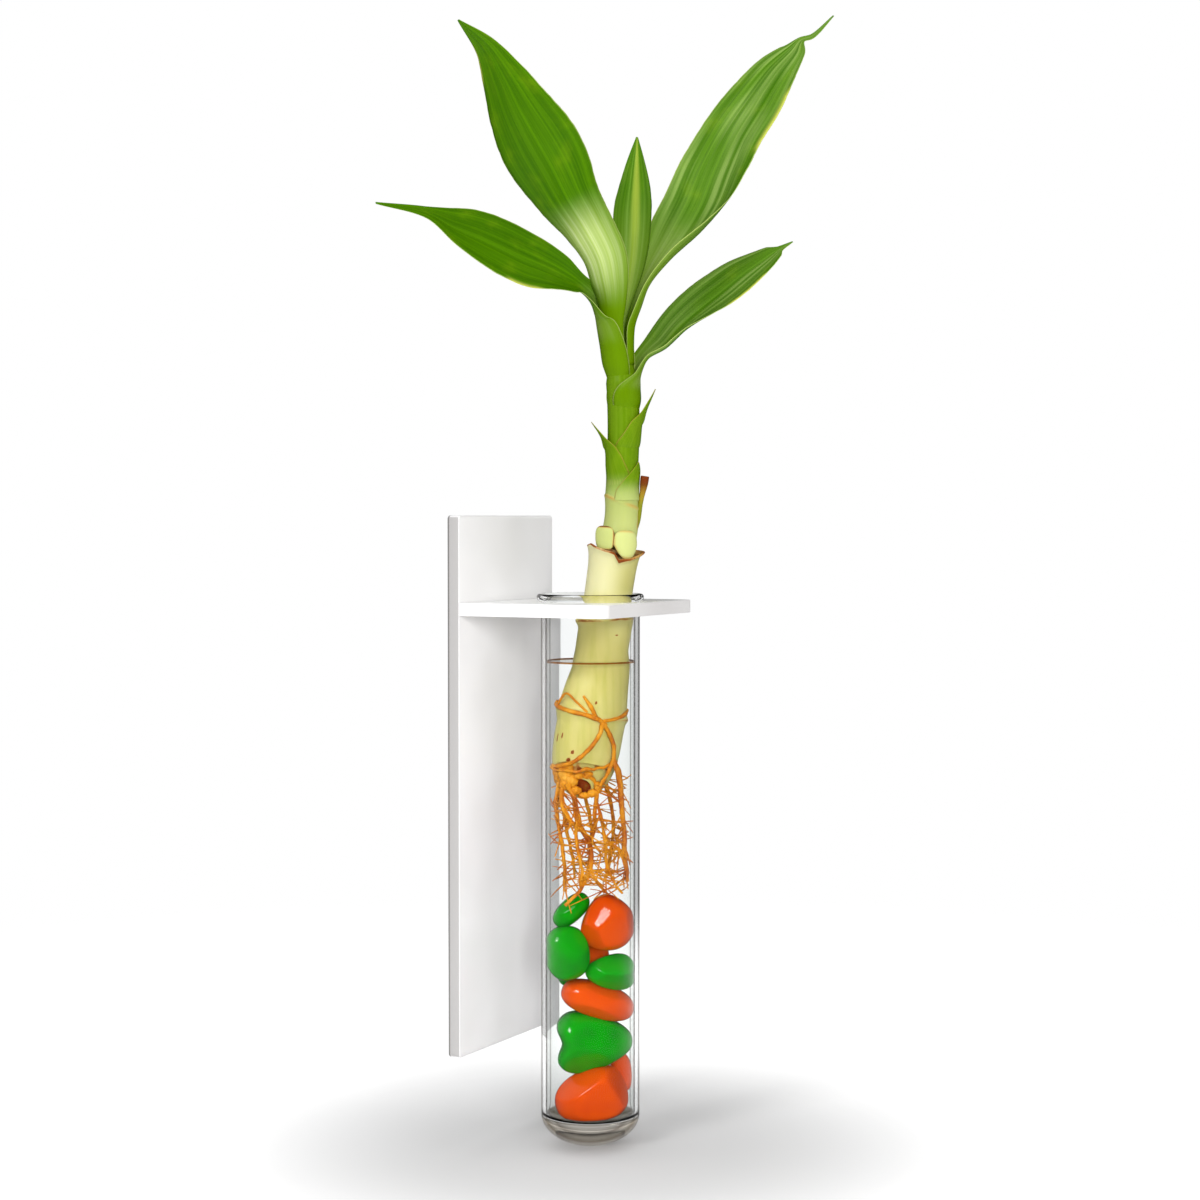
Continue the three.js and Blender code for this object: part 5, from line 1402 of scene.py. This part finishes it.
def pebble_material(name, body, dark):
    """Tumbled and polished pebble of coloured glass: one strong, opaque colour and a wet gloss.

    The colour is deeper in patches of about 5 mm, and pits under 1 mm break the gloss a little.
    """
    material, tree = new_material(name)
    where = add(tree, COORDINATES).outputs["Object"]
    cloud = add(tree, NOISE, {"Vector": where, "Scale": 110, "Detail": 3})
    pits = add(tree, NOISE, {"Vector": where, "Scale": 700, "Detail": 3})
    patch = add(tree, EASE, {"Value": cloud, "From Min": 0.4, "From Max": 0.8}, **SOFT)
    tinted = add(tree, MIX, {"Factor": patch, "A": body, "B": dark}, **RGBA)
    glossy = add(tree, MATH, {0: pits, 1: 0.06, 2: 0.05}, operation="MULTIPLY_ADD")
    skin = add(tree, BUMP, {"Height": pits, "Distance": 0.00006, "Strength": 0.35})
    surface = add(tree, SURFACE, {
        "Base Color": tinted, "Roughness": glossy, "Normal": skin, "IOR": 1.5, "Specular IOR Level": 0.5})
    add(tree, OUTPUT, {"Surface": surface})
    return material


class BAMBOO_OT_pebbles(bpy.types.Operator):
    """Make the green and orange pebbles"""
    bl_idname = "bamboo.pebbles"
    bl_label = "Pebbles"

    def execute(self, context):
        settings = context.scene.bamboo_pebbles
        green = pebble_material("polished green glass", settings.green[:], shown("#067c0a"))
        orange = pebble_material("polished orange glass", settings.orange[:], shown("#d04200"))
        ball, faces = sphere(settings.detail)
        for name, plan in PEBBLES.items():
            finish, slot = (green, "pebble_green") if "green" in name else (orange, "pebble_orange")
            make_piece(name.replace("pebble", "stone"), pebble_points(plan, ball), faces, [finish],
                       [name])
        return {"FINISHED"}


# ---------------------------------------------------------------- roots

# Main roots as rows of [x, y, z, radius].
MAIN_ROOTS = {
    "girdle": [[-12.6, 2.5, -38.6, 0.8], [-12.6, -4.6, -39.6, 1.0], [-8.4, -11.4, -41.0, 1.0],
               [-1.4, -14.6, -42.6, 1.1], [3.4, -14.4, -44.4, 1.2], [5.6, -13.4, -46.8, 1.2]],
    "girdle_right": [[3.8, -14.3, -45.0, 0.8], [9.4, -11.6, -44.2, 0.8], [13.0, -6.6, -42.8, 0.9],
                     [14.0, -1.0, -41.8, 0.9]],
    "loop": [[-12.2, -5.6, -39.2, 0.6], [-9.0, -10.0, -34.6, 0.6], [-5.4, -12.6, -37.4, 0.5],
             [-1.0, -14.0, -41.6, 0.6]],
    "bud": [[-2.4, -12.6, -35.4, 0.5], [0.2, -13.8, -39.4, 1.0], [2.2, -14.3, -43.4, 1.0]],
    "slant_left": [[4.6, -14.0, -46.0, 1.1], [3.4, -14.2, -50.4, 1.0], [0.4, -14.6, -54.6, 1.0],
                   [-3.4, -14.2, -58.4, 1.0], [-7.4, -12.6, -61.0, 1.1], [-11.0, -9.0, -62.4, 1.2],
                   [-13.4, -4.0, -63.0, 1.2]],
    "slant_right": [[4.8, -13.9, -46.0, 1.0], [7.6, -12.2, -51.0, 1.0], [8.8, -10.9, -56.0, 1.0],
                    [8.4, -10.4, -60.6, 1.0], [6.6, -10.8, -65.0, 0.9], [4.0, -10.6, -69.6, 0.9],
                    [2.6, -9.4, -74.0, 0.9], [1.6, -7.4, -80.4, 0.9], [1.8, -6.2, -86.0, 0.8],
                    [0.4, -6.0, -91.6, 0.8]],
    "stout": [[8.6, -10.4, -59.6, 1.2], [10.6, -8.6, -66.0, 1.3], [11.4, -7.4, -74.0, 1.3],
              [12.2, -6.2, -82.0, 1.2], [12.8, -5.0, -89.0, 1.1], [12.8, -4.4, -95.4, 1.1],
              [13.6, -3.4, -101.4, 1.0], [14.0, -2.0, -107.6, 0.9]],
    "yellow": [[-8.6, -10.4, -69.0, 1.3], [-6.2, -10.8, -74.0, 1.3], [-5.0, -9.4, -80.0, 1.2],
               [-3.6, -7.8, -85.6, 1.2], [-0.6, -6.4, -92.0, 1.1], [0.6, -6.4, -98.6, 1.1],
               [-1.2, -7.4, -105.4, 1.0], [-5.0, -8.8, -111.4, 0.9], [-9.4, -9.4, -115.8, 0.8]],
    "yellow_twin": [[-4.8, -9.2, -81.0, 0.9], [-5.2, -9.2, -89.0, 0.9], [-4.0, -9.4, -97.0, 0.8],
                    [-3.0, -8.8, -104.4, 0.8], [-3.8, -8.6, -109.8, 0.7]],
    "left_long": [[-11.6, -5.0, -69.0, 1.2], [-12.8, -4.6, -77.0, 1.0], [-12.2, -4.4, -84.6, 0.9],
                  [-11.0, -4.4, -91.0, 0.9], [-10.0, -4.6, -99.0, 0.8], [-9.6, -5.0, -106.0, 0.7],
                  [-9.8, -5.4, -111.0, 0.6]],
    "left_short": [[-10.4, -8.0, -69.6, 1.1], [-10.6, -9.2, -77.0, 1.0], [-7.6, -9.8, -82.6, 0.9],
                   [-4.6, -8.8, -87.0, 0.8]],
    "left_back": [[-9.4, 7.0, -65.0, 1.1], [-11.2, 6.4, -74.0, 1.0], [-9.8, 8.2, -86.0, 0.9],
                  [-7.4, 9.4, -98.0, 0.8], [-6.0, 8.4, -108.0, 0.6]],
    "right_back": [[3.6, 8.6, -64.0, 1.1], [6.8, 8.4, -74.0, 1.0], [9.0, 7.8, -86.0, 0.9],
                   [8.0, 9.0, -98.0, 0.8], [6.2, 8.6, -108.0, 0.6]],
    "middle_back": [[-4.0, 9.4, -65.0, 1.0], [-2.0, 8.0, -76.0, 0.9], [0.6, 6.0, -90.0, 0.8],
                    [-1.0, 4.4, -104.0, 0.6]],
    "right_fork": [[2.2, -8.8, -75.4, 0.8], [4.4, -6.8, -84.0, 0.8], [5.6, -6.2, -92.0, 0.8],
                   [6.2, -7.0, -100.0, 0.7], [9.0, -7.6, -107.0, 0.6], [12.0, -6.6, -111.6, 0.5]],
    "right_tie": [[5.4, -6.2, -90.6, 0.6], [9.2, -5.8, -93.4, 0.6], [12.8, -4.6, -96.6, 0.7]],
    "low_fork": [[0, -7.0, -102.4, 0.7], [2.8, -8.6, -107.2, 0.7], [6.6, -9.6, -111.4, 0.5]],
}

# Swellings where the roots leave the cane, round its cut end.
CROWN = [
    ([-8.6, -7.2, -65.0], [3.6, 3.4, 4.6]), ([-10.8, -2.8, -65.4], [3.4, 4.2, 5.4]),
    ([-6.9, -9.6, -68.0], [2.4, 2.2, 2.6]), ([3.6, 8.8, -64.2], [5.0, 3.6, 4.6]),
    ([-6.4, 9.4, -64.2], [5.6, 3.6, 4.6]), ([-9.6, -8.0, -69.4], [2.0, 1.8, 2.4]),
    ([-5.4, -10.2, -71.6], [2.2, 1.7, 1.6]), ([-2.2, -9.8, -73.6], [2.3, 1.6, 1.3]),
    ([0.8, -9.4, -72.8], [1.9, 1.6, 1.6]), ([2.8, -9.0, -70.2], [1.4, 1.6, 2.0]),
    ([-4.2, -10.9, -66.0], [1.9, 1.4, 1.3]), ([-0.6, -11.4, -65.2], [1.7, 1.2, 1.1]),
    ([-8.0, -9.6, -62.6], [1.8, 1.4, 1.5]),
]

# The rings of torn bark: centre, the way each faces, radius and thickness.
COLLARS = [
    ([-2.4, -1.1, -62.2], [-0.1, -0.12, 1.0], 12.4, 0.6),
    ([-3.4, -7.6, -70.0], [0.03, 0.8, 0.6], 5.4, 0.9),
]

# The net of fine roots (mm): between which heights it hangs, how much its lower end varies, the
# least and greatest length of a strand, and how far from the tube's axis its outer ends lie.
NET_TOP, NET_BOTTOM, NET_RAGGED = -66, -118.5, 3.0
NET_SPAN = 3.0, 14.5
NET_REACH = 13.5, 16.8
NET_BEND = 16.2                     # a strand's middle stays within this radius
NET_CARRIERS = -86                  # main roots that end below this height carry the net
NET_TRIES = 60000
KNOT = 0.3                          # how far a knot stands out of a root, mm


def root_material(settings):
    """Living root: corky, fibrous and dull, from straw to rust along its length.

    The straw and rust patches are 4 to 8 mm long; the fibres are under 1 mm.
    """
    material, tree = new_material("corky orange root")
    where = add(tree, COORDINATES).outputs["Object"]
    cloud = add(tree, NOISE, {"Vector": where, "Scale": 130, "Detail": 4})
    drawn = add(tree, STRETCH, {"Vector": where, "Scale": (1, 1, 0.35)})
    fibre = add(tree, NOISE, {"Vector": drawn, "Scale": 1400, "Detail": 3})
    finer = add(tree, MATH, {0: fibre, 1: 0.35, 2: -0.15}, operation="MULTIPLY_ADD")
    age = add(tree, MATH, {0: cloud, 1: 0.9, 2: finer}, operation="MULTIPLY_ADD")
    body = add(tree, RAMP, {"Fac": age}, stops=[
        (0.2, settings.root_pale), (0.42, settings.root), (0.6, shown("#b8601a")),
        (0.78, settings.root_dark)])
    skin = add(tree, BUMP, {"Height": fibre, "Distance": 0.0002, "Strength": 0.6})
    surface = add(tree, SURFACE, {
        "Base Color": body, "Normal": skin, "Roughness": 0.5, "IOR": 1.45, "Specular IOR Level": 0.3})
    add(tree, OUTPUT, {"Surface": surface})
    return material


def main_roots():
    """The main roots, a little crooked: each a list of points (mm) with a radius."""
    strands = []
    for rows in MAIN_ROOTS.values():
        run, count = Run(rows), 8 * len(rows)
        strand = []
        for step in range(count + 1):
            t = step / count
            point = run.point(t)
            wander = np.array([rough(point, 4.0, 1.0), rough(point, 4.0, 7.0), 0]) * 0.35
            radius = max(run.value(3, t), 0.3) * 0.84 * (1 + 0.25 * rough(point, 2.0, 3.0))
            strand.append((point + wander, radius))
        strands.append(strand)
    return strands


def bark_rings(steps=60):
    """Torn bark that stands round the cane's end as thin uneven rings, listed as the roots are."""
    strands = []
    for centre, towards, radius, thick in COLLARS:
        up = unit(np.array(towards))
        across = unit(np.cross(up, [0, 1, 0.2]))
        side = np.cross(up, across)
        strand = []
        for step in range(steps + 1):
            turn = 2 * math.pi * step / steps
            point = np.array(centre) + radius * (math.cos(turn) * across + math.sin(turn) * side)
            uneven = rough(point, 2.6, 5.0)
            strand.append((point + up * 0.7 * uneven, thick * (0.75 + 0.7 * abs(uneven))))
        strands.append(strand)
    return strands


def root_net(settings, steps=8):
    """The fine roots between the hanging ones and out to the glass, listed as the roots are."""
    rand = random.Random(settings.seed)
    hanging = [Run(rows) for rows in MAIN_ROOTS.values() if rows[-1][2] < NET_CARRIERS]
    fine, strands, tries = settings.strand / MM, [], 0
    while len(strands) < settings.strands and tries < NET_TRIES:
        tries += 1
        start = rand.choice(hanging).point(rand.uniform(0.05, 1.0))
        # Almost half of them tie two hanging roots, and the others fan out to the glass.
        if rand.random() < 0.45:
            end = rand.choice(hanging).point(rand.uniform(0.05, 1.0))
        else:
            turn, reach = rand.uniform(0, 2 * math.pi), rand.uniform(*NET_REACH)
            end = np.array([reach * math.cos(turn), reach * math.sin(turn),
                            start[2] + rand.uniform(-9, 4)])
        span = np.linalg.norm(end - start)
        low = NET_BOTTOM + NET_RAGGED * rand.random()
        lowest, highest = sorted((start[2], end[2]))
        if not NET_SPAN[0] < span < NET_SPAN[1] or lowest < low or highest > NET_TOP:
            continue
        sag = [rand.uniform(-0.7, 0.7), rand.uniform(-0.7, 0.7), rand.uniform(-0.8, 0.4)]
        middle = (start + end) / 2 + np.array(sag)
        if math.hypot(middle[0], middle[1]) > NET_BEND:
            continue
        run = Run([[*start, 0], [*middle, 0], [*end, 0]])
        thick = fine * rand.uniform(0.7, 1.25)
        strands.append([(run.point(s / steps), thick * (1 - 0.3 * s / steps)) for s in range(steps + 1)])
    return strands


def root_tree(material):
    """Geometry Nodes: each chain of edges becomes a tapering tube with a knotty skin."""
    tree = bpy.data.node_groups.new("roots along their lines", "GeometryNodeTree")
    face = tree.interface
    face.new_socket(name="Lines", in_out="INPUT", socket_type="NodeSocketGeometry")
    sides = face.new_socket(name="Sides", in_out="INPUT", socket_type="NodeSocketInt")
    knots = face.new_socket(name="Knots", in_out="INPUT", socket_type="NodeSocketFloat")
    face.new_socket(name="Roots", in_out="OUTPUT", socket_type="NodeSocketGeometry")
    given = add(tree, "NodeGroupInput").outputs
    lines = add(tree, "GeometryNodeMeshToCurve", {"Mesh": given["Lines"]})
    thick = add(tree, "GeometryNodeInputNamedAttribute", {"Name": "thick"}, data_type="FLOAT")
    section = add(tree, "GeometryNodeCurvePrimitiveCircle", {"Resolution": given["Sides"], "Radius": 1.0})
    tubes = add(tree, "GeometryNodeCurveToMesh", {
        "Curve": lines, "Profile Curve": section, "Scale": thick, "Fill Caps": True})
    grainy = add(tree, NOISE, {"Scale": 520.0, "Detail": 2.0})
    centred = add(tree, MATH, {0: grainy, 1: 0.5}, operation="SUBTRACT")
    height = add(tree, MATH, {0: centred, 1: given["Knots"]}, operation="MULTIPLY")
    normal = add(tree, "GeometryNodeInputNormal")
    offset = add(tree, "ShaderNodeVectorMath", {0: normal, "Scale": height}, operation="SCALE")
    knotty = add(tree, "GeometryNodeSetPosition", {"Geometry": tubes, "Offset": offset})
    smooth = add(tree, "GeometryNodeSetShadeSmooth", {"Geometry": knotty})
    real = add(tree, "GeometryNodeRealizeInstances", {"Geometry": smooth})
    dressed = add(tree, "GeometryNodeSetMaterial", {"Geometry": real, "Material": material})
    add(tree, "NodeGroupOutput", {0: dressed})
    return tree, sides.identifier, knots.identifier


class BAMBOO_OT_roots(bpy.types.Operator):
    """Make the roots, their crown and their net"""
    bl_idname = "bamboo.roots"
    bl_label = "Roots"

    def execute(self, context):
        settings = context.scene.bamboo_roots
        material = root_material(settings)
        points, edges, thick = [], [], []
        for strand in main_roots() + bark_rings() + root_net(settings):
            start = len(points)
            points += [point for point, _ in strand]
            thick += [radius * MM for _, radius in strand]
            edges += [(i, i + 1) for i in range(start, len(points) - 1)]
        lines = bpy.data.meshes.new("root lines")
        lines.from_pydata(placed(points, TUBE_FRAME).tolist(), edges, [])
        lines.attributes.new("thick", "FLOAT", "POINT").data.foreach_set("value", thick)
        drawn = bpy.data.objects.new("root lines", lines)
        context.scene.collection.objects.link(drawn)
        tree, sides, knots = root_tree(material)
        modifier = drawn.modifiers.new("roots", "NODES")
        modifier.node_group = tree
        modifier[sides] = settings.sides
        modifier[knots] = KNOT * MM
        view = context.evaluated_depsgraph_get()
        mesh = bpy.data.meshes.new_from_object(drawn.evaluated_get(view))
        if len(mesh.polygons) < 1000:
            raise RuntimeError("the roots came out empty")
        drawn.modifiers.remove(modifier)
        bpy.data.objects.remove(drawn)
        mesh.name = "root_strands"
        outward(mesh)
        net = bpy.data.objects.new("root_strands", mesh)
        context.scene.collection.objects.link(net)
        settled(net, ["roots"])
        ball, faces = sphere(4)
        lumps, lump_faces = [], []
        for place, (centre, size) in enumerate(CROWN):
            bumps = [1 + 0.16 * rough(p, 0.35, centre[0]) + 0.08 * rough(p, 0.12, 2.0) for p in ball]
            lumps.append(ball * np.array(bumps)[:, None] * size + centre)
            lump_faces += [tuple(place * len(ball) + i for i in face) for face in faces]
        make_piece("root_crown", np.vstack(lumps), lump_faces, [material], ["roots"])
        return {"FINISHED"}


# ---------------------------------------------------------------- panel and run

SETTINGS = {
    "bamboo_bracket": BracketSettings,
    "bamboo_tube": TubeSettings,
    "bamboo_plant": PlantSettings,
    "bamboo_roots": RootSettings,
    "bamboo_pebbles": PebbleSettings,
    "bamboo_stage": StageSettings,
}

OPERATORS = [
    (BAMBOO_OT_stage, "bamboo_stage"),
    (BAMBOO_OT_bracket, "bamboo_bracket"),
    (BAMBOO_OT_tube, "bamboo_tube"),
    (BAMBOO_OT_water, "bamboo_tube"),
    (BAMBOO_OT_cane, "bamboo_plant"),
    (BAMBOO_OT_shoot, "bamboo_plant"),
    (BAMBOO_OT_leaves, "bamboo_plant"),
    (BAMBOO_OT_roots, "bamboo_roots"),
    (BAMBOO_OT_pebbles, "bamboo_pebbles"),
]


class BAMBOO_PT_panel(bpy.types.Panel):
    """Lists the operators that make the pieces, with their settings"""
    bl_idname = "BAMBOO_PT_panel"
    bl_label = "Bamboo in a test tube"
    bl_space_type = "VIEW_3D"
    bl_region_type = "UI"
    bl_category = "Bamboo"

    def draw(self, context):
        seen = set()
        for operator, key in OPERATORS:
            box = self.layout.box()
            box.operator(operator.bl_idname)
            if key in seen:
                continue
            seen.add(key)
            group = getattr(context.scene, key)
            for name in group.__annotations__:
                box.prop(group, name)


def register():
    for group in SETTINGS.values():
        bpy.utils.register_class(group)
    for operator, _ in OPERATORS:
        bpy.utils.register_class(operator)
    bpy.utils.register_class(BAMBOO_PT_panel)
    for name, group in SETTINGS.items():
        setattr(bpy.types.Scene, name, bpy.props.PointerProperty(type=group))


def unregister():
    for name in SETTINGS:
        delattr(bpy.types.Scene, name)
    bpy.utils.unregister_class(BAMBOO_PT_panel)
    for operator, _ in reversed(OPERATORS):
        bpy.utils.unregister_class(operator)
    for group in reversed(SETTINGS.values()):
        bpy.utils.unregister_class(group)


def main():
    """Makes every piece in order."""
    register()
    for operator, _ in OPERATORS:
        group, name = operator.bl_idname.split(".")
        getattr(getattr(bpy.ops, group), name)()


if __name__ == "__main__":
    main()
